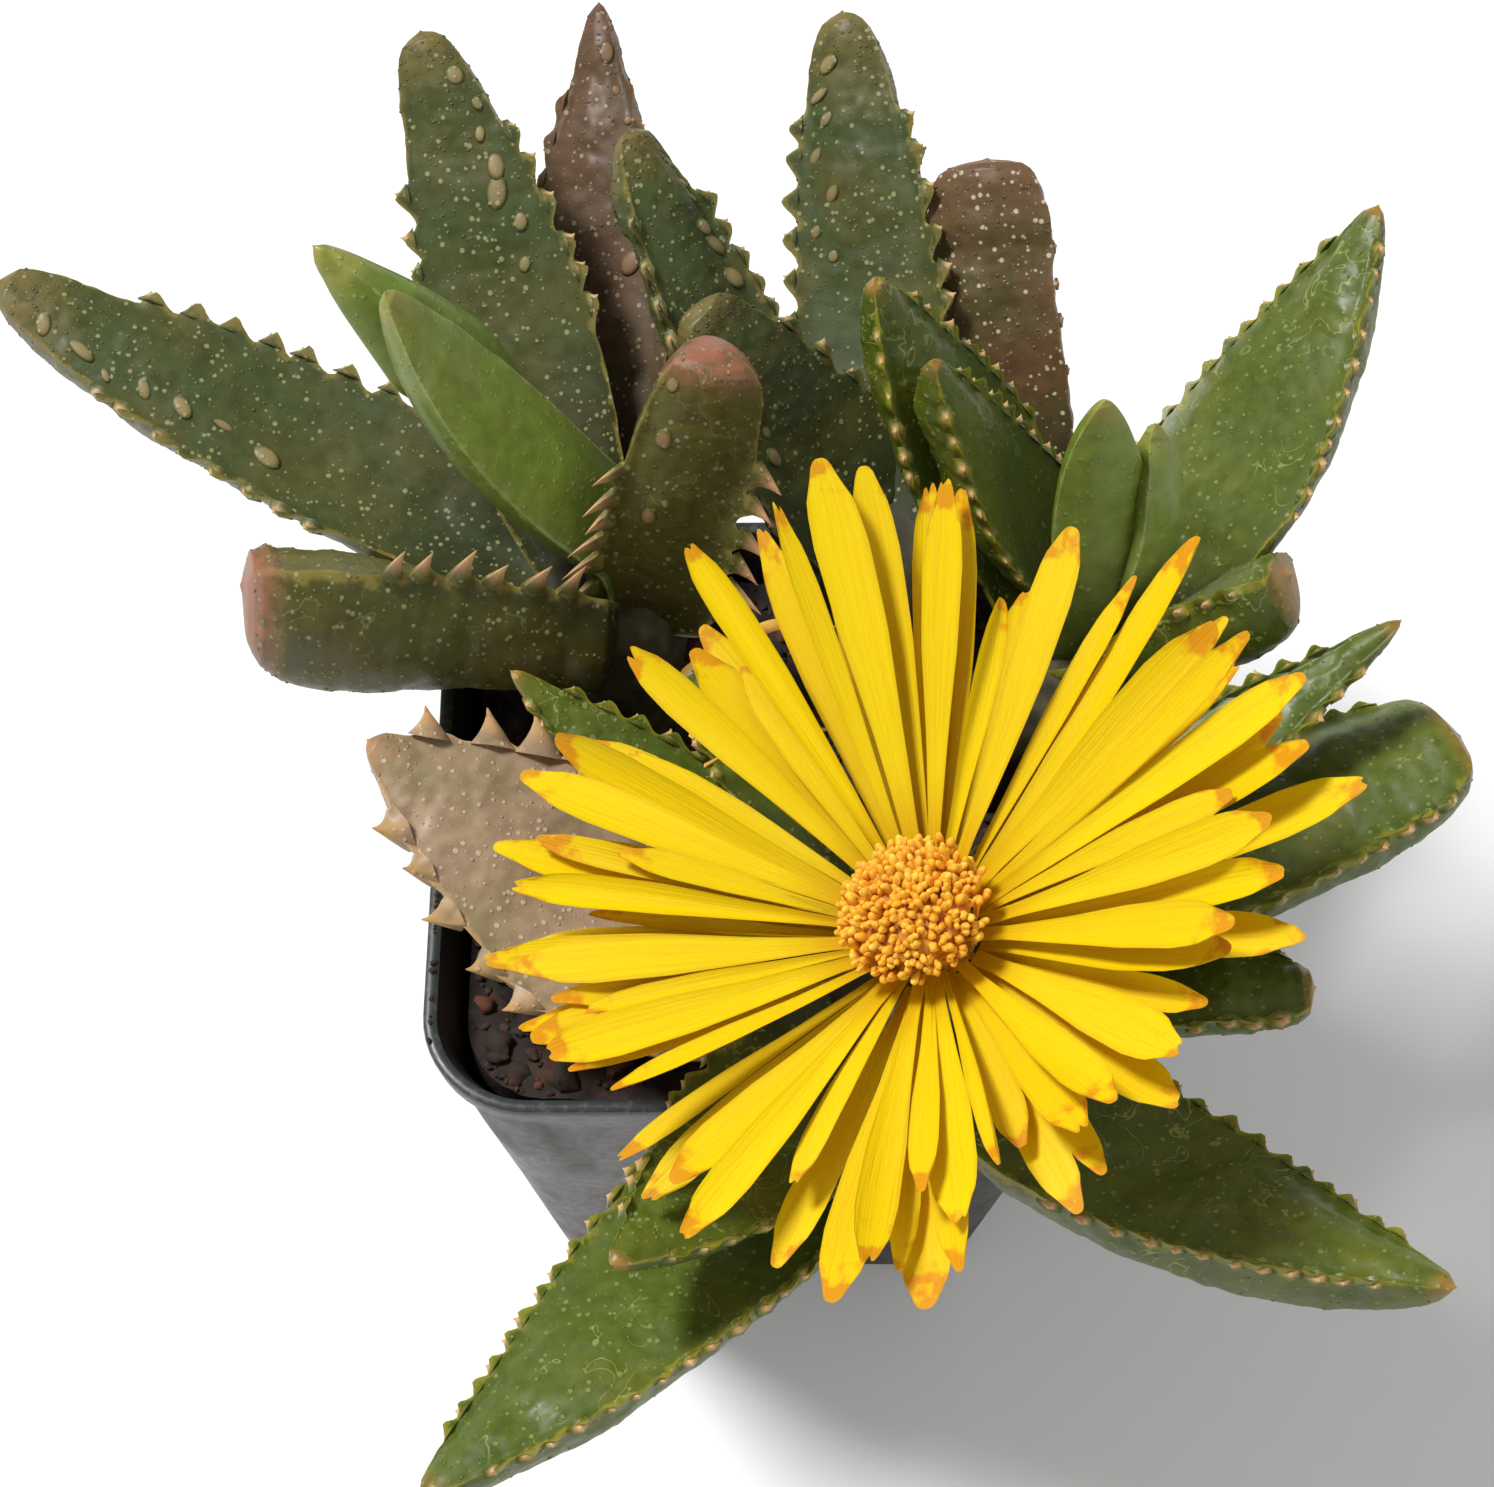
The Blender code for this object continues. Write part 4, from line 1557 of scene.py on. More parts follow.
    def set_teeth(
        self,
        shell: Shell,
        gauge: LeafGauge,
        look: LeafLook,
        teeth: list[list[float]],
        tooth: Stamp,
        chance: random.Random,
    ) -> None:
        """Adds the teeth along both margins.

        Args:
            shell: What they are added to.
            gauge: The leaf's measures.
            look: The leaf's look.
            teeth: Where the teeth of the right and the left margin stand.
            tooth: The tooth's stamp.
            chance: Source of unevenness.
        """
        length = gauge.levels[-1] - gauge.levels[0]
        for right, levels in zip((True, False), teeth):
            sign = 1 if right else -1
            for level in levels:
                here = self.margin_at(gauge, level, right)
                ahead = self.margin_at(gauge, level + 0.6 * MM, right)
                forward = (ahead - here) / np.linalg.norm(ahead - here)
                lift = look.upright + chance.uniform(-0.15, 0.15)
                out = np.array([sign * 1.0, 0.15, lift])
                out -= forward * np.dot(out, forward) * 0.8
                out /= np.linalg.norm(out)
                thick = np.cross(forward, out)
                thick /= np.linalg.norm(thick)
                share = (level - gauge.levels[0]) / length
                size = chance.uniform(0.65, 1.15) * (1.0 if share < 0.75 else 0.75)
                height = look.tooth_height * size
                width = look.tooth_width * chance.uniform(0.85, 1.2)
                columns = [
                    gauge.axes.T @ (axis * scale)
                    for axis, scale in ((forward, width), (out, height), (thick, width))
                ]
                foot = gauge.world(here + out * (0.45 * look.scallop - 0.15 * MM))
                matrix = Matrix(
                    [[columns[c][r] for c in range(3)] + [foot[r]] for r in range(3)] + [[0, 0, 0, 1]]
                )
                tooth.press(shell, matrix)

    def seat(self, shell: Shell, row: int, column: int, slide: float) -> Matrix | None:
        """The place and outward turn of something that sits on the skin.

        Args:
            shell: The leaf, whose first body is its skin.
            row: The skin's row of points.
            column: The point in that row.
            slide: Share of the way to the next point of the row.

        Returns:
            The place and turn, or None where the skin has no area.
        """
        skin = shell.points[0]
        columns = self.columns
        row += self.neck_rings
        here = skin[row * columns + column]
        beside = skin[row * columns + (column + 1) % columns]
        above = skin[(row + 1) * columns + column]
        normal = np.cross(beside - here, above - here)
        length = np.linalg.norm(normal)
        if length < 1e-12:
            return None
        middle = skin[row * columns : (row + 1) * columns].mean(axis=0)
        if np.dot(normal, here - middle) < 0:
            normal = -normal
        turn = Vector(normal / length).to_track_quat("Z", "Y").to_matrix().to_4x4()
        return Matrix.Translation(Vector(here + (beside - here) * slide)) @ turn

    def set_warts(self, shell: Shell, look: LeafLook, wart: Stamp, chance: random.Random) -> None:
        """Adds small warts on the face and flanks, more of them towards the tip.

        Args:
            shell: What they are added to.
            look: The leaf's look.
            wart: The wart's stamp.
            chance: Source of unevenness.
        """
        for _ in range(look.warts):
            row = int((0.2 + 0.75 * chance.random() ** 0.8) * (self.stations - 2))
            seat = self.seat(shell, row, chance.randrange(self.columns), chance.random())
            size = self.wart_radius * chance.uniform(0.6, 1.3)
            if seat:
                wart.press(shell, seat @ Matrix.Scale(size, 4))

    def set_bosses(self, shell: Shell, look: LeafLook, wart: Stamp, chance: random.Random) -> None:
        """Adds a row of pale swollen bosses down the face of an older leaf.

        Args:
            shell: What they are added to.
            look: The leaf's look.
            wart: The wart's stamp.
            chance: Source of unevenness.
        """
        lean = chance.choice((-1, 1))
        for index in range(look.bosses):
            share = 0.35 + 0.45 * (index + chance.uniform(-0.2, 0.2)) / max(look.bosses - 1, 1)
            column = int((0.5 + lean * chance.uniform(0.2, 0.4)) * (self.face_points - 1))
            seat = self.seat(shell, int(share * (self.stations - 2)), column, 0.5)
            size = self.boss_radius * chance.uniform(0.5, 1.2)
            if seat:
                long = Matrix.Diagonal(
                    (size * chance.uniform(0.6, 0.9), size * chance.uniform(0.9, 1.6), size * 0.5, 1.0)
                )
                wart.press(shell, seat @ long)


# Flower


WHORLS = ("petals_lower", "petals_middle", "petals_upper")
GOLDEN_ANGLE = 2.399963


@dataclass(frozen=True)
class Bloom:
    """The flower: petals over each whorl's node, and a brush of anthers over the stamens' node."""

    petal_finish: PetalFinish
    stamen_finish: PlainFinish
    columns: int = 9
    rows: int = 22
    thickness: float = 0.16 * MM
    slender_share: float = 0.55
    folded_share: float = 0.14
    anthers: int = 420
    anther_length: float = 0.85 * MM
    core_sides: int = 20
    brush_seed: int = 11

    def build(self) -> None:
        """Makes the petals and the stamens."""
        axes, middle = self.axis()
        material = self.petal_finish.build()
        for node in WHORLS:
            chance = random.Random(node)
            shell = Shell()
            for line, halves in self.petal_lines(node, axes, middle):
                shell.add(*self.lay_petal(line, halves, axes, middle, chance))
                if chance.random() < self.slender_share:
                    line, halves = self.slender(line, halves, chance)
                    shell.add(*self.lay_petal(line, halves, axes, middle, chance))
            hand_in(shell.piece(node + "_silk", material), "petal", node)
        self.lay_stamens(axes, middle)

    def axis(self) -> tuple[np.ndarray, np.ndarray]:
        """The flower's own axes, its third the turning axis of its stamens, and its middle.

        Returns:
            The axes and the middle of the brush's foot.
        """
        points, triangles = node_points("stamens")
        middles, areas = weigh_triangles(points, triangles)
        brush = np.average(middles, axis=0, weights=areas)
        reach = 0.8 * (points.max(axis=0) - points.min(axis=0)).max()
        ring = np.concatenate([node_points(node)[0] for node in WHORLS])
        ring = ring[np.linalg.norm(ring - brush, axis=1) < reach]
        _, directions = spread(ring, np.ones(len(ring)))
        up = directions[:, 0] * (1 if directions[2, 0] > 0 else -1)
        side = np.cross((0, 1.0, 0), up)
        side /= np.linalg.norm(side)
        axes = np.array([side, np.cross(up, side), up])
        low = ((points - brush) @ axes.T)[:, 2].min()
        return axes, brush + up * low

    def petal_lines(self, node: str, axes: np.ndarray, middle: np.ndarray) -> list[
        tuple[np.ndarray, np.ndarray]
    ]:
        """Each petal of a whorl, as the whorl's node has it.

        Args:
            node: The whorl's node.
            axes: The flower's axes.
            middle: The flower's middle.

        Returns:
            For each petal its middle line from root to tip, and its half width along that line.
        """
        body = bmesh.new()
        body.from_mesh(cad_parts[node].data)
        bmesh.ops.remove_doubles(body, verts=body.verts, dist=0.01 * MM)
        places = {vert: (np.array(vert.co) - middle) @ axes.T for vert in body.verts}
        ring = min(np.hypot(place[0], place[1]) for place in places.values()) * 1.45
        far = {vert for vert, place in places.items() if np.hypot(place[0], place[1]) > ring}
        level = np.mean([place[2] for vert, place in places.items() if vert not in far])
        found = []
        while far:
            island, queue = [], [far.pop()]
            while queue:
                vert = queue.pop()
                island.append(places[vert])
                for edge in vert.link_edges:
                    other = edge.other_vert(vert)
                    if other in far:
                        far.remove(other)
                        queue.append(other)
            found.append(self.trace(np.array(island), level, ring))
        body.free()
        return sorted(found, key=lambda item: math.atan2(item[0][-1][1], item[0][-1][0]))

    def trace(self, island: np.ndarray, level: float, ring: float) -> tuple[np.ndarray, np.ndarray]:
        """The middle line and half widths of one petal.

        Args:
            island: The petal's points in the flower's frame.
            level: The height of the whorl's ring.
            ring: The ring's radius.

        Returns:
            The middle line from root to tip, and the half width along it.
        """
        heading = island[:, :2].mean(axis=0)
        heading /= np.linalg.norm(heading)
        reach = island[:, :2] @ heading
        order = np.argsort(reach)
        groups = np.split(order, np.where(np.diff(reach[order]) > 0.4 * MM)[0] + 1)
        groups = [group for group in groups if len(group) >= 3]
        line = [np.array([*(heading * ring * 0.75), level])]
        halves = [0.45 * MM]
        side = np.array([-heading[1], heading[0]])
        for group in groups:
            place = island[group].mean(axis=0)
            spread_across = island[group][:, :2] @ side
            line.append(place)
            halves.append((spread_across.max() - spread_across.min()) / 2)
        return np.array(line), np.array(halves)

    def slender(
        self, line: np.ndarray, halves: np.ndarray, chance: random.Random
    ) -> tuple[np.ndarray, np.ndarray]:
        """A shorter, slimmer petal beside another one of its whorl.

        Args:
            line: The other petal's middle line in the flower's frame.
            halves: Its half widths along that line.
            chance: Source of unevenness.

        Returns:
            The slim petal's middle line and half widths.
        """
        turn = math.radians(chance.choice((-1, 1)) * chance.uniform(6, 11))
        about = np.array(
            [[math.cos(turn), -math.sin(turn), 0], [math.sin(turn), math.cos(turn), 0], [0, 0, 1]]
        )
        return line @ about.T * chance.uniform(0.7, 0.95), halves * chance.uniform(0.5, 0.8)

    def lay_petal(
        self, line: np.ndarray, halves: np.ndarray, axes: np.ndarray, heart: np.ndarray, chance: random.Random
    ) -> tuple[np.ndarray, list[tuple[int, ...]], np.ndarray]:
        """Shapes one petal: a dished strap with a blunt, often notched tip.

        Args:
            line: Its middle line in the flower's frame.
            halves: Its half widths along that line.
            axes: The flower's axes.
            heart: The flower's middle.
            chance: Source of unevenness.

        Returns:
            Its points, faces and marks.
        """
        steps = np.concatenate([[0], np.cumsum(np.linalg.norm(np.diff(line, axis=0), axis=1))])
        total = steps[-1] * chance.uniform(0.9, 1.0)
        heading = line[-1][:2] / np.linalg.norm(line[-1][:2])
        side = np.array([-heading[1], heading[0], 0.0])
        widest = halves.max() * chance.uniform(0.8, 1.08)
        shares = np.linspace(0, 1, self.rows)
        shares = 1 - (1 - shares) ** 1.2
        profile = np.interp(
            shares, (0, 0.12, 0.35, 0.6, 0.82, 0.93, 1.0), (0.3, 0.3, 0.55, 0.9, 1.0, 0.88, 0.5)
        )
        notch = chance.uniform(0.0, 0.035) if chance.random() < 0.6 else 0.0
        notch_at = chance.uniform(-0.4, 0.4)
        blunt = chance.uniform(0.03, 0.07)
        twist = chance.gauss(0, 0.34)
        droop = chance.uniform(-1.6, 1.2) * MM
        sway = chance.uniform(-0.9, 0.9) * MM
        dish = chance.uniform(0.12, 0.42)
        if chance.random() < self.folded_share:
            dish, twist, widest = 1.0, 1.6 * twist, 0.8 * widest
        number = chance.random()
        u = np.linspace(-1, 1, self.columns)
        top, under, marks_top, marks_under = [], [], [], []
        for share, width in zip(shares, profile):
            reach = share * total * (
                1 - blunt * share * np.abs(u) ** 3 - notch * share * np.exp(-(((u - notch_at) / 0.22) ** 2))
            )
            middle = np.stack([np.interp(reach, steps, line[:, axis]) for axis in range(3)], axis=1)
            middle[:, 2] += droop * share**2
            middle += side * sway * share**2
            half = widest * width
            angle = twist * share
            lift = dish * half * (u**2 - 0.4) * (1 - 0.4 * share)
            ripple = 0.05 * MM * math.sin(9 * share + 6 * number) * u
            across = half * u
            points = middle + np.outer(across * math.cos(angle) - lift * math.sin(angle), side)
            points[:, 2] += across * math.sin(angle) + lift * math.cos(angle) + ripple
            edge_thin = self.thickness * (0.25 + 0.75 * (1 - u**4)) * (1.0 if share < 0.98 else 0.4)
            upper, lower = points.copy(), points.copy()
            upper[:, 2] += edge_thin / 2
            lower[:, 2] -= edge_thin / 2
            top.append(upper)
            under.append(lower)
            mark = np.stack(
                [(u + 1) / 2, np.full(len(u), number), np.full(len(u), share), np.ones(len(u))], axis=1
            )
            marks_top.append(mark)
            low_mark = mark.copy()
            low_mark[:, 3] = 0
            marks_under.append(low_mark)
        rings = [np.concatenate([upper, lower[::-1]]) for upper, lower in zip(top, under)]
        marks = [np.concatenate([upper, lower[::-1]]) for upper, lower in zip(marks_top, marks_under)]
        count = 2 * self.columns
        faces = bridge(self.rows, count)
        start = (self.rows - 1) * count
        for column in range(self.columns - 1):
            back = count - 1 - column
            faces.append((column, column + 1, back - 1, back))
            faces.append((start + column, start + column + 1, start + back - 1, start + back))
        local = np.concatenate(rings)
        return local @ axes + heart, faces, np.concatenate(marks)

    def lay_stamens(self, axes: np.ndarray, middle: np.ndarray) -> None:
        """Makes the brush: a core with anthers all over it.

        Args:
            axes: The flower's axes.
            middle: The flower's middle.
        """
        points, _ = node_points("stamens")
        local = (points - middle) @ axes.T
        radius = np.hypot(local[:, 0], local[:, 1]).max()
        height = local[:, 2].max()
        chance = random.Random(self.brush_seed)
        anther = model_anther()
        shell = Shell()
        profile = ((0.62, 0.0), (0.66, 0.45), (0.84, 0.74), (0.74, 0.84), (0.5, 0.9), (0.2, 0.92))
        sides = self.core_sides
        rings = []
        for share, up in profile:
            turn = np.arange(sides) / sides * 2 * math.pi
            ring = np.stack([np.cos(turn), np.sin(turn), np.zeros(sides)], axis=1) * radius * share
            ring[:, 2] = up * height
            rings.append(ring)
        core = np.concatenate([*rings, [[0, 0, 0.92 * height], [0, 0, 0]]])
        faces = bridge(len(profile), sides)
        last = (len(profile) - 1) * sides
        faces += [(last + i, last + (i + 1) % sides, len(core) - 2) for i in range(sides)]
        faces += [((i + 1) % sides, i, len(core) - 1) for i in range(sides)]
        # Painted shade: the core is marked darkest, as the shade under the anthers.
        shell.add(core @ axes + middle, faces, np.tile([0.0, 0.0, 0.05, 0.0], (len(core), 1)))
        for index in range(self.anthers):
            share = math.sqrt((index + 0.5) / self.anthers)
            turn = index * GOLDEN_ANGLE + chance.uniform(-0.25, 0.25)
            spread_out = share * (1.02 + chance.uniform(-0.04, 0.05))
            up = height * (0.98 - 0.34 * share**3.2 + chance.uniform(-0.05, 0.05))
            foot = np.array([math.cos(turn) * spread_out * radius, math.sin(turn) * spread_out * radius, up])
            lean = np.array([math.cos(turn) * share * 0.9, math.sin(turn) * share * 0.9, 1.0])
            lean += np.array([chance.uniform(-0.6, 0.6), chance.uniform(-0.6, 0.6), 0])
            heading = Vector(lean @ axes)
            size = self.anther_length * chance.uniform(0.75, 1.15)
            spin = Matrix.Rotation(chance.uniform(0, math.pi), 4, "Z")
            place = Vector(foot @ axes + middle)
            matrix = Matrix.Translation(place) @ heading.to_track_quat("Z", "Y").to_matrix().to_4x4() @ spin
            anther.press(shell, matrix @ Matrix.Scale(size, 4), chance.random() * 0.9)
        hand_in(shell.piece("stamens_brush", self.stamen_finish.build()), "stamens", "stamens")


@dataclass(frozen=True)
class DryPetals:
    """The dry threads of an older flower, as thin twisted ribbons."""

    finish: PlainFinish
    half_width: float = 0.42 * MM
    thickness: float = 0.09 * MM
    steps: int = 40

    def build(self) -> None:
        """Makes a ribbon for each thread's node."""
        material = self.finish.build()
        for node in sorted(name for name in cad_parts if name.startswith("wilted_petal")):
            points, _ = node_points(node)
            chance = random.Random(node)
            line = self.middle_line(points)
            hand_in(self.ribbon(node + "_ribbon", line, material, chance), "wilted_petal", node)

    def middle_line(self, points: np.ndarray) -> np.ndarray:
        """A thread's middle line.

        Args:
            points: The points of the thread's node.

        Returns:
            The line's points, from end to end.
        """
        _, directions = spread(points, np.ones(len(points)))
        reach = (points - points.mean(axis=0)) @ directions[:, 2]
        bounds = np.linspace(reach.min(), reach.max(), 12)
        line = []
        for low, high in zip(bounds, bounds[1:]):
            inside = points[(reach >= low - 1e-6) & (reach <= high + 1e-6)]
            if len(inside):
                line.append(inside.mean(axis=0))
        return np.array(line)

    def ribbon(
        self, name: str, line: np.ndarray, material: bpy.types.Material, chance: random.Random
    ) -> bpy.types.Object:
        """Makes one ribbon.

        Args:
            name: The piece's name.
            line: Its middle line.
            material: Its material.
            chance: Source of unevenness.

        Returns:
            The ribbon.
        """
        share = np.linspace(0, 1, self.steps)
        at = np.linspace(0, 1, len(line))
        middle = np.stack([np.interp(share, at, line[:, axis]) for axis in range(3)], axis=1)
        for _ in range(3):
            middle[1:-1] = (middle[:-2] + middle[1:-1] * 2 + middle[2:]) / 4
        rings, marks = [], []
        start = chance.uniform(0, 3)
        for index, place in enumerate(middle):
            ahead = Vector(middle[min(index + 1, self.steps - 1)] - middle[max(index - 1, 0)]).normalized()
            frame_turn = ahead.to_track_quat("Y", "Z").to_matrix()
            angle = start + 4.5 * share[index]
            taper = 0.35 + 0.65 * math.sin(math.pi * min(1.0, 0.12 + 0.8 * share[index]))
            ring = []
            for x, z in ((1, 0), (0.5, 1), (-0.5, 1), (-1, 0), (-0.5, -1), (0.5, -1)):
                flat = x * self.half_width * taper
                thick = z * self.thickness + 0.12 * MM * abs(x)
                turned = Vector(
                    (
                        flat * math.cos(angle) - thick * math.sin(angle),
                        0,
                        flat * math.sin(angle) + thick * math.cos(angle),
                    )
                )
                ring.append(np.array(Vector(place) + frame_turn @ turned))
                marks.append([0.0, 0.0, share[index], 0.0])
            rings.append(ring)
        points = np.concatenate(rings)
        faces = bridge(self.steps, 6)
        faces.append(tuple(range(5, -1, -1)))
        faces.append(tuple(range(len(points) - 6, len(points))))
        shell = Shell()
        shell.add(points, faces, np.array(marks))
        return shell.piece(name, material)


# Pot, soil and stems


CORNERS = ((1, 1), (-1, 1), (-1, -1), (1, -1))


@dataclass(frozen=True)
class NurseryPot:
    """The tapered square pot with its rolled lip and drain holes. Lengths are in metres."""

    finish: PotFinish
    wall: float = 0.8 * MM
    band_height: float = 2.2 * MM
    band_step: float = 0.7 * MM
    rim_corner: float = 7.5 * MM
    base_corner: float = 4.5 * MM
    hole_radius: float = 2.5 * MM
    hole_from_edge: float = 6.5 * MM
    corner_steps: int = 12
    side_steps: int = 10

    def build(self) -> None:
        """Makes the pot."""
        low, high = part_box("pot")
        points, _ = node_points("pot")
        foot = points[points[:, 2] < low.z + 1.2 * MM]
        base_width = 2 * foot[:, 0].max()
        rim_width = high.x - low.x
        height = high.z
        wall_top = rim_width - 2 * self.band_step
        rows = self.profile(height)
        shell = Shell()
        rings, marks = [], []
        for level, offset, lip, outside in rows:
            share = level / height
            width = base_width + share * (wall_top - base_width) + 2 * offset
            corner = self.base_corner + share * (self.rim_corner - self.band_step - self.base_corner) + offset
            ring = self.square(level, width, max(corner, 0.5 * MM))
            for point in ring:
                sway = 0.12 * MM * share * noise.noise(Vector(point) / (14 * MM))
                point[0] += sway * (1 if point[0] > 0 else -1)
                point[1] += sway * (1 if point[1] > 0 else -1)
            rings.append(ring)
            marks.append(np.tile([lip, 0.0, share, outside], (len(ring), 1)))
        columns = len(rings[0])
        faces = bridge(len(rings), columns)
        faces.append(tuple(range(columns - 1, -1, -1)))
        total = len(rings) * columns
        faces.append(tuple(range(total - columns, total)))
        shell.add(np.concatenate(rings), faces, np.concatenate(marks))
        pot = shell.piece("pot_shell", self.finish.build(), 35.0)
        self.drill(pot, base_width)
        hand_in(pot, "pot_plastic", "pot")

    def profile(self, height: float) -> list[tuple[float, float, float, float]]:
        """The wall's section, from under the base, up outside, over the lip and down inside.

        Args:
            height: The pot's height.

        Returns:
            Rows of height, offset from the wall's outside, nearness to the lip, and outside.
        """
        band = height - self.band_height
        step = self.band_step
        outside = [
            (0.0, -1.3 * MM, 0.0),
            (0.05 * MM, -0.8 * MM, 0.0),
            (0.35 * MM, -0.3 * MM, 0.0),
            (1.0 * MM, 0.0, 0.0),
        ]
        outside += [(share * height, 0.0, 0.0) for share in (0.15, 0.3, 0.45, 0.6, 0.75, 0.88)]
        outside += [
            (band - 0.8 * MM, 0.0, 0.05),
            (band - 0.35 * MM, 0.12 * MM, 0.5),
            (band - 0.1 * MM, step * 0.7, 0.7),
            (band + 0.15 * MM, step, 0.8),
            (height - 1.0 * MM, step, 0.8),
            (height - 0.45 * MM, step, 1.0),
            (height - 0.15 * MM, step - 0.1 * MM, 1.0),
            (height, step - 0.35 * MM, 1.0),
        ]
        inside = [
            (height, step - 0.75 * MM, 1.0),
            (height - 0.15 * MM, step - 1.0 * MM, 1.0),
            (height - 0.5 * MM, step - 1.1 * MM, 0.7),
            (height - 1.2 * MM, -self.wall + 0.25 * MM, 0.3),
            (band - 0.6 * MM, -self.wall, 0.0),
            (0.6 * height, -self.wall, 0.0),
            (0.3 * height, -self.wall, 0.0),
            (1.6 * MM, -self.wall, 0.0),
            (self.wall, -self.wall - 0.9 * MM, 0.0),
        ]
        rows = [(level, offset, lip, 1.0) for level, offset, lip in outside]
        return rows + [(level, offset, lip, 0.0) for level, offset, lip in inside]

    def square(self, level: float, width: float, corner: float) -> np.ndarray:
        """Points of a level square with round corners.

        Args:
            level: Its height.
            width: Its outside width.
            corner: Its corners' radius.

        Returns:
            The points, anticlockwise seen from above.
        """
        centres = (width / 2 - corner) * np.array(CORNERS)
        points = []
        for turn, centre in enumerate(centres):
            for step in range(self.corner_steps + 1):
                angle = (turn + step / self.corner_steps) * math.pi / 2
                points.append([*(centre + corner * np.array([math.cos(angle), math.sin(angle)])), level])
            ahead = (turn + 1) % 4
            angle = ahead * math.pi / 2
            start = np.array(points[-1][:2])
            end = centres[ahead] + corner * np.array([math.cos(angle), math.sin(angle)])
            for step in range(1, self.side_steps):
                points.append([*(start + (end - start) * step / self.side_steps), level])
        return np.array(points)

    def drill(self, pot: bpy.types.Object, base_width: float) -> None:
        """Cuts the four drain holes.

        Args:
            pot: The pot.
            base_width: The base's width.
        """
        from_middle = base_width / 2 - self.hole_from_edge
        for x, y in CORNERS:
            deselect()
            place = (x * from_middle, y * from_middle, 0)
            bpy.ops.mesh.primitive_cylinder_add(
                vertices=28, radius=self.hole_radius, depth=6 * MM, location=place
            )
            drill = bpy.context.object
            cut = pot.modifiers.new("drain", "BOOLEAN")
            cut.operation = "DIFFERENCE"
            cut.solver = "EXACT"
            cut.object = drill
            deselect()
            pot.select_set(True)
            bpy.context.view_layer.objects.active = pot
            bpy.ops.object.modifier_apply(modifier=cut.name)
            bpy.data.objects.remove(drill, do_unlink=True)


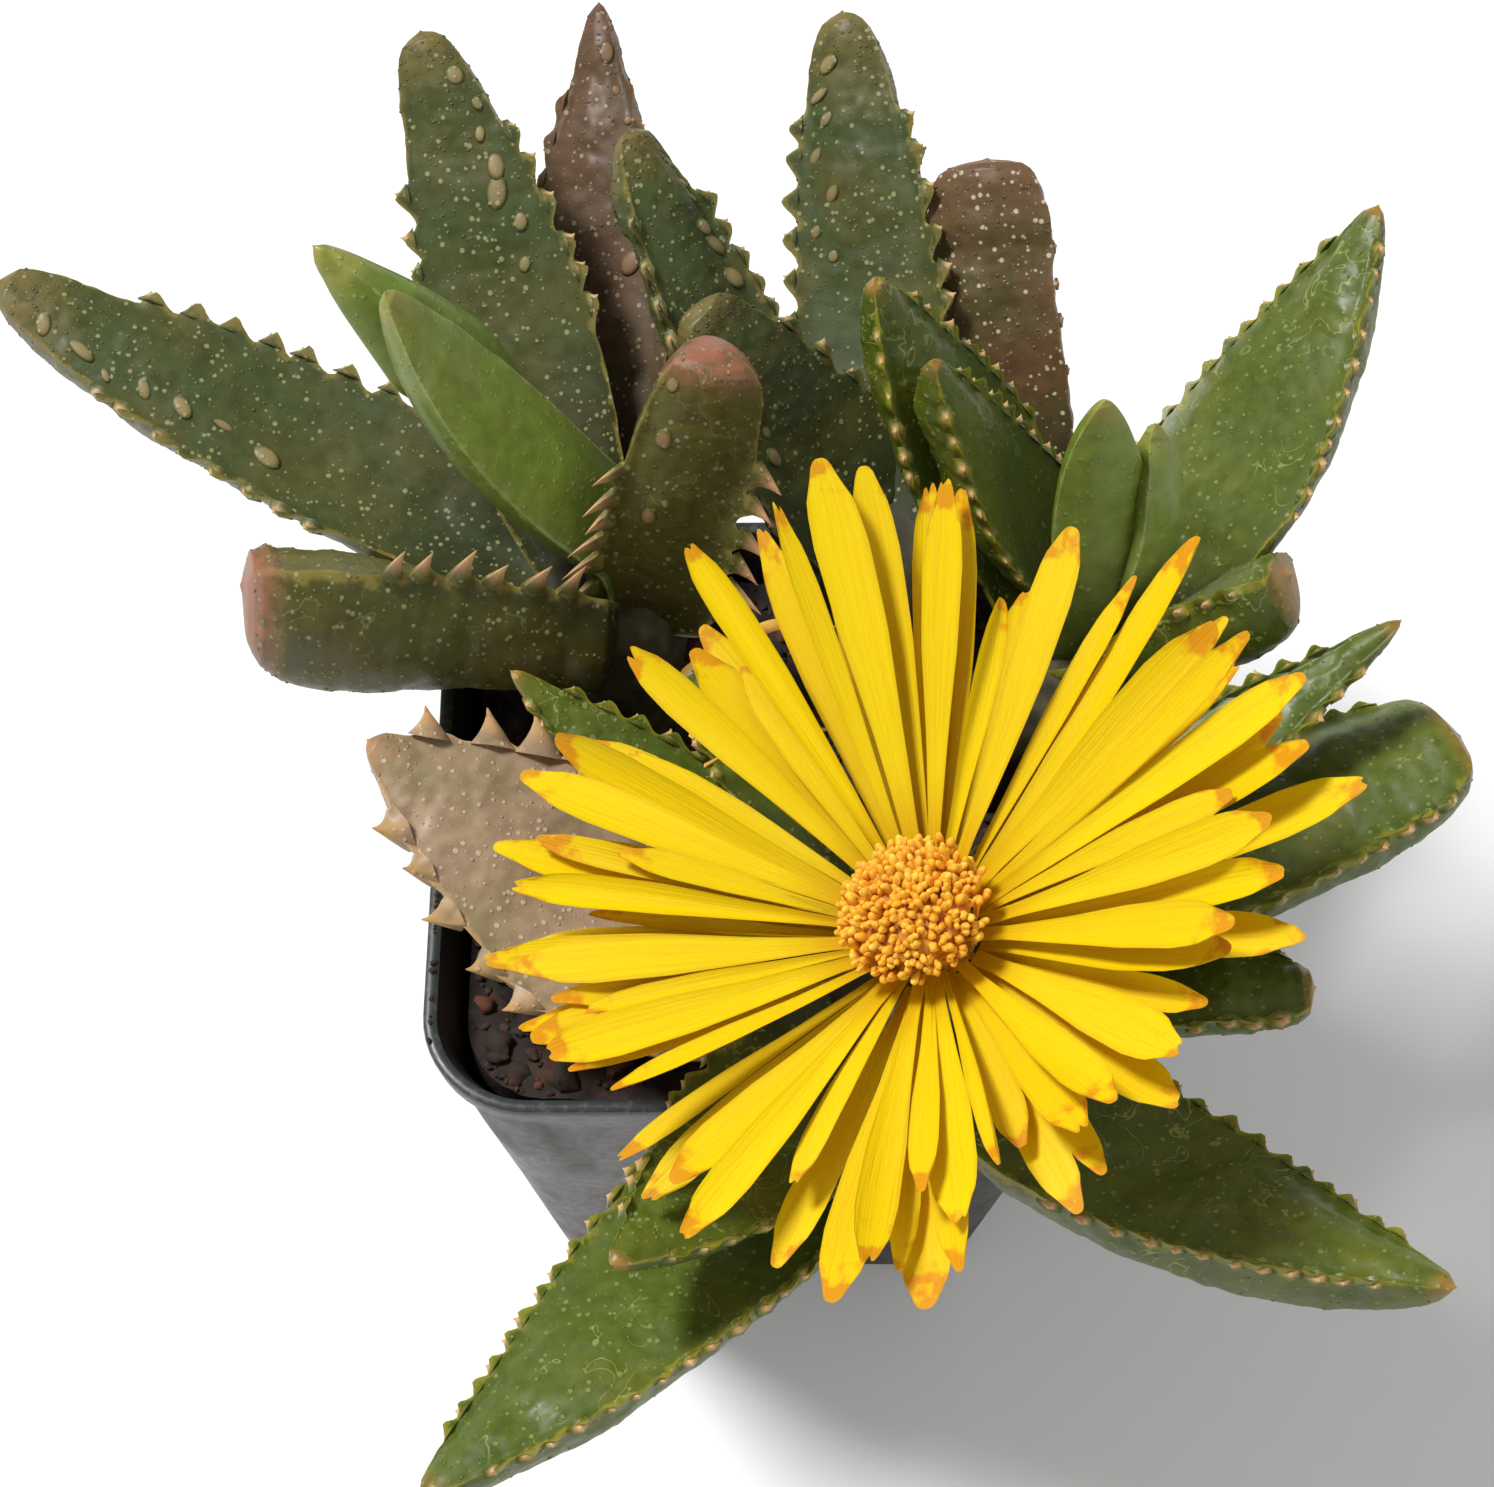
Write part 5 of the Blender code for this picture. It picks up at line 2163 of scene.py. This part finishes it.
@dataclass(frozen=True)
class PottingMix:
    """The soil: its block, a rough crust on top, and crumbs of soil and bark."""

    finish: PlainFinish
    divisions: int = 110
    crust: float = 0.9 * MM
    large_crumbs: int = 330
    small_crumbs: int = 1500
    lip_crumbs: int = 26
    corner: float = 6.0 * MM
    lift: float = 0.2 * MM
    seed: int = 5

    def build(self) -> None:
        """Dresses the block, and makes the crust with its crumbs."""
        material = self.finish.build()
        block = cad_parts["soil"]
        for slot in block.material_slots:
            slot.material = material
        low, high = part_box("soil")
        half = high.x - 0.15 * MM
        shell = Shell()
        self.lay_crust(shell, half, high.z)
        self.drop_crumbs(shell, half, high.z)
        hand_in(shell.piece("soil_crust", material, 50.0), "soil")

    def level(self, x: float, y: float) -> float:
        """How far the crust stands above its mean.

        Args:
            x: The place's first coordinate.
            y: Its second.

        Returns:
            The height in metres.
        """
        place = Vector((x, y, 0))
        soft = noise.noise(place / (7 * MM))
        return (
            0.7 * soft + 0.45 * noise.noise(place / (1.7 * MM)) + 0.3 * noise.noise(place / (0.7 * MM))
        ) * MM

    def pull_in(self, x: float, y: float, half: float) -> tuple[float, float]:
        """Keeps a place inside the pot's round corners.

        Args:
            x: The place's first coordinate.
            y: Its second.
            half: Half the soil's width.

        Returns:
            The place, moved in if it was in a corner.
        """
        middle = half - self.corner
        over = Vector((max(abs(x) - middle, 0), max(abs(y) - middle, 0)))
        if over.length > self.corner:
            over = over.normalized() * self.corner
            x = math.copysign(middle + over.x, x) if abs(x) > middle else x
            y = math.copysign(middle + over.y, y) if abs(y) > middle else y
        return x, y

    def lay_crust(self, shell: Shell, half: float, top: float) -> None:
        """Adds the crust: a rough sheet with a flat underside.

        Args:
            shell: What it is added to.
            half: Half the soil's width.
            top: The soil's highest point.
        """
        count = self.divisions
        steps = np.linspace(-half, half, count)
        upper, lower = [], []
        for y in steps:
            for x in steps:
                px, py = self.pull_in(x, y, half)
                upper.append([px, py, top + self.lift + self.level(px, py)])
                lower.append([px, py, top - 2.5 * self.crust])
        faces = bridge(count, count, closed=False)
        total = count * count
        faces += [tuple(index + total for index in face[::-1]) for face in bridge(count, count, closed=False)]
        border = list(range(count)) + [row * count + count - 1 for row in range(1, count)]
        border += [(count - 1) * count + column for column in range(count - 2, -1, -1)]
        border += [row * count for row in range(count - 2, 0, -1)]
        for first, second in zip(border, border[1:] + border[:1]):
            faces.append((second, first, first + total, second + total))
        points = np.array(upper + lower)
        marks = np.tile([0.0, 0.0, 0.25, 0.0], (len(points), 1))
        shell.add(points, faces, marks)

    def drop_crumbs(self, shell: Shell, half: float, top: float) -> None:
        """Adds crumbs over the crust and a few on the pot's lip.

        Args:
            shell: What they are added to.
            half: Half the soil's width.
            top: The soil's highest point.
        """
        chance = random.Random(self.seed)
        large = [model_grain(2, seed) for seed in (1, 2, 3)]
        small = [model_grain(1, seed) for seed in (4, 5, 6)]
        for index in range(self.large_crumbs + self.small_crumbs):
            big = index < self.large_crumbs
            size = chance.uniform(0.45, 1.25) * MM if big else chance.uniform(0.16, 0.42) * MM
            reach = half - size
            x, y = self.pull_in(chance.uniform(-reach, reach), chance.uniform(-reach, reach), reach)
            z = top + self.lift + self.level(x, y) + 0.15 * size
            self.crumb(shell, chance.choice(large if big else small), (x, y, z), size, chance)
        _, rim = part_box("pot")
        for _ in range(self.lip_crumbs):
            along = chance.uniform(-0.8, 0.3) * rim.y
            size = chance.uniform(0.1, 0.28) * MM
            self.crumb(
                shell, chance.choice(small), (-rim.x + 0.6 * MM, along, rim.z + 0.5 * size), size, chance
            )

    def crumb(self, shell: Shell, shape: Stamp, place: tuple, size: float, chance: random.Random) -> None:
        """Adds one crumb, turned by chance.

        Args:
            shell: What it is added to.
            shape: The crumb's stamp.
            place: Where its middle goes.
            size: Its radius, in metres.
            chance: Source of unevenness.
        """
        turn = Matrix.Rotation(chance.uniform(0, 6.28), 4, "Z") @ Matrix.Rotation(
            chance.uniform(-0.6, 0.6), 4, "X"
        )
        shape.press(shell, Matrix.Translation(Vector(place)) @ turn @ Matrix.Scale(size, 4), chance.random())


@dataclass(frozen=True)
class Stalks:
    """The corky stems, the flower's stalk and its fleshy cup."""

    stem_finish: PlainFinish
    cup_finish: LeafFinish
    voxel: float = 0.45 * MM

    def build(self) -> None:
        """Makes each stem, the stalk and the cup."""
        # The stems' dark tone is partly their cork and partly painted shade.
        stem = self.stem_finish.build()
        for node in sorted(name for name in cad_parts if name.startswith("stem_")):
            hand_in(self.refine(node, "bark", stem, 0.3 * MM), "stem", node)
        hand_in(self.refine("flower_stalk", "skin", stem, 0.08 * MM), "stem", "flower_stalk")
        hand_in(self.refine("calyx", "skin", self.cup_finish.build(), 0.12 * MM), "calyx", "calyx")

    def refine(self, node: str, ending: str, material: bpy.types.Material, lump: float) -> bpy.types.Object:
        """A fine copy of a node with an uneven skin.

        Args:
            node: The node's name.
            ending: What the copy's name ends with.
            material: The copy's material.
            lump: How far the skin stands out, in metres.

        Returns:
            The copy.
        """
        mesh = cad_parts[node].data.copy()
        body = bmesh.new()
        body.from_mesh(mesh)
        bmesh.ops.remove_doubles(body, verts=body.verts, dist=0.01 * MM)
        body.to_mesh(mesh)
        body.free()
        obj = bpy.data.objects.new(node + "_" + ending, mesh)
        bpy.context.scene.collection.objects.link(obj)
        deselect()
        obj.select_set(True)
        bpy.context.view_layer.objects.active = obj
        remesh = obj.modifiers.new("fine", "REMESH")
        remesh.mode = "VOXEL"
        remesh.voxel_size = self.voxel
        bpy.ops.object.modifier_apply(modifier=remesh.name)
        relax = obj.modifiers.new("relax", "SMOOTH")
        relax.iterations = 6
        bpy.ops.object.modifier_apply(modifier=relax.name)
        mesh = obj.data
        normals = [vert.normal.copy() for vert in mesh.vertices]
        for vert, normal in zip(mesh.vertices, normals):
            vert.co += normal * lump * noise.noise(vert.co / (1.6 * MM))
        write_marks(mesh, np.tile([0.0, 0.0, 0.5, 0.4], len(mesh.vertices)))
        bpy.data.objects.remove(obj, do_unlink=True)
        return settle(node + "_" + ending, mesh, material, 60.0)


# Studio


@dataclass(frozen=True)
class Lamp:
    """A square soft light: its name, place and size in metres, and power in watts."""

    name: str
    place: tuple[float, float, float]
    size: float
    power: float


@dataclass(frozen=True)
class Studio:
    """Camera, soft lights and a pale floor. Lengths are in metres and angles in degrees."""

    elevation: float = 60.0
    distance: float = 246.5 * MM
    aim_right: float = -1.7 * MM
    aim_back: float = 4.8 * MM
    lens: float = 82.9
    floor_size: float = 6.0
    sky: float = 0.4
    lit_height: float = 0.05
    lamps: tuple[Lamp, ...] = (
        Lamp("key", (-0.45, 0.2, 0.85), 0.2, 9.5),
        Lamp("fill", (0.7, -0.5, 0.6), 0.6, 1.6),
    )

    def build(self) -> None:
        """Sets up the whole studio."""
        scene = bpy.context.scene
        scene.view_settings.view_transform = "Standard"
        self.place_camera(scene)
        self.light(scene)
        self.lay_floor()

    def place_camera(self, scene: bpy.types.Scene) -> None:
        """Places the camera, which looks down at the rim of the pot.

        Args:
            scene: The scene.
        """
        _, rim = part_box("pot")
        aim = Vector((self.aim_right, self.aim_back, rim.z))
        tilt = math.radians(self.elevation)
        away = Vector((0, -math.cos(tilt), math.sin(tilt)))
        data = bpy.data.cameras.new("camera")
        data.lens = self.lens
        data.sensor_width = 36
        data.clip_start = 0.01
        camera = bpy.data.objects.new("camera", data)
        camera.location = aim + away * self.distance
        camera.rotation_euler = (-away).to_track_quat("-Z", "Y").to_euler()
        scene.collection.objects.link(camera)
        scene.camera = camera

    def light(self, scene: bpy.types.Scene) -> None:
        """Adds a key from the back left, a fill from the right and an even sky.

        Args:
            scene: The scene.
        """
        world = bpy.data.worlds.new("studio")
        world.use_nodes = True
        sky = world.node_tree.nodes["Background"]
        sky.inputs["Color"].default_value = (1.0, 1.0, 1.0, 1.0)
        sky.inputs["Strength"].default_value = self.sky
        scene.world = world
        target = Vector((0, 0, self.lit_height))
        for lamp in self.lamps:
            data = bpy.data.lights.new(lamp.name, "AREA")
            data.size = lamp.size
            data.energy = lamp.power
            light = bpy.data.objects.new(lamp.name, data)
            light.location = lamp.place
            light.rotation_euler = (target - Vector(lamp.place)).to_track_quat("-Z", "Y").to_euler()
            scene.collection.objects.link(light)

    def lay_floor(self) -> None:
        """Lays the floor."""
        deselect()
        bpy.ops.mesh.primitive_plane_add(size=self.floor_size, location=(0, 0, 0))
        floor = bpy.context.object
        floor.name = "floor"
        material, graph, shader, place = open_material("pale_floor")
        shade = graph.mix(graph.noise(place, 3.0, 2.0), tone(244, 244, 244), tone(250, 250, 250))
        graph.feed(shader, {"Base Color": shade, "Roughness": 0.8})
        floor.data.materials.append(material)


def main() -> None:
    """Builds every piece in order."""
    logging.basicConfig(level=logging.INFO, format="%(name)s: %(message)s")
    # Corky stem tone, darkened further as painted shade for the stems hidden deep among the leaves.
    cork_and_shade = PlainFinish(
        "stem_cork",
        low=tone(46, 44, 26),
        high=tone(70, 66, 38),
        spot=tone(58, 44, 30),
        scale=700.0,
        roughness=0.7,
        depth=0.1 * MM,
        use_marks=False,
    )
    mix = PlainFinish(
        "potting_mix",
        low=tone(22, 17, 14),
        # The high tone also paints light on the crumbs' tops.
        high=tone(58, 44, 34),
        spot=tone(104, 62, 40),
        scale=900.0,
        roughness=0.88,
        depth=0.2 * MM,
        spot_share=0.25,
    )
    gold = PlainFinish(
        "anther_gold",
        # The low tone is painted shade deep in the anther brush.
        low=tone(176, 96, 8),
        high=tone(243, 178, 44),
        spot=tone(250, 204, 70),
        scale=1500.0,
        roughness=0.6,
        depth=0.05 * MM,
        spot_share=0.3,
        subsurface=0.2,
    )
    dry = PlainFinish(
        "dry_petal",
        low=tone(206, 150, 40),
        high=tone(226, 184, 84),
        spot=tone(176, 96, 36),
        scale=1200.0,
        roughness=0.6,
        depth=0.05 * MM,
        spot_share=0.4,
    )
    silk = PetalFinish(
        "petal_silk",
        root=tone(204, 152, 0),
        middle=tone(228, 196, 0),
        streak=tone(220, 178, 0),
        tip=tone(196, 104, 16),
        under=tone(208, 142, 4),
    )
    shell = PotFinish(
        "pot_shell",
        plastic=tone(35, 31, 28),
        lip=tone(48, 54, 56),
        # The lip tone is a painted highlight along the rim.
        dust=tone(74, 66, 56),
        scuff=tone(98, 94, 86),
    )
    NurseryPot(shell).build()
    PottingMix(mix).build()
    Stalks(cork_and_shade, GREEN_SKIN).build()
    Foliage().build()
    Bloom(silk, gold).build()
    DryPetals(dry).build()
    Studio().build()


if __name__ == "__main__":
    main()
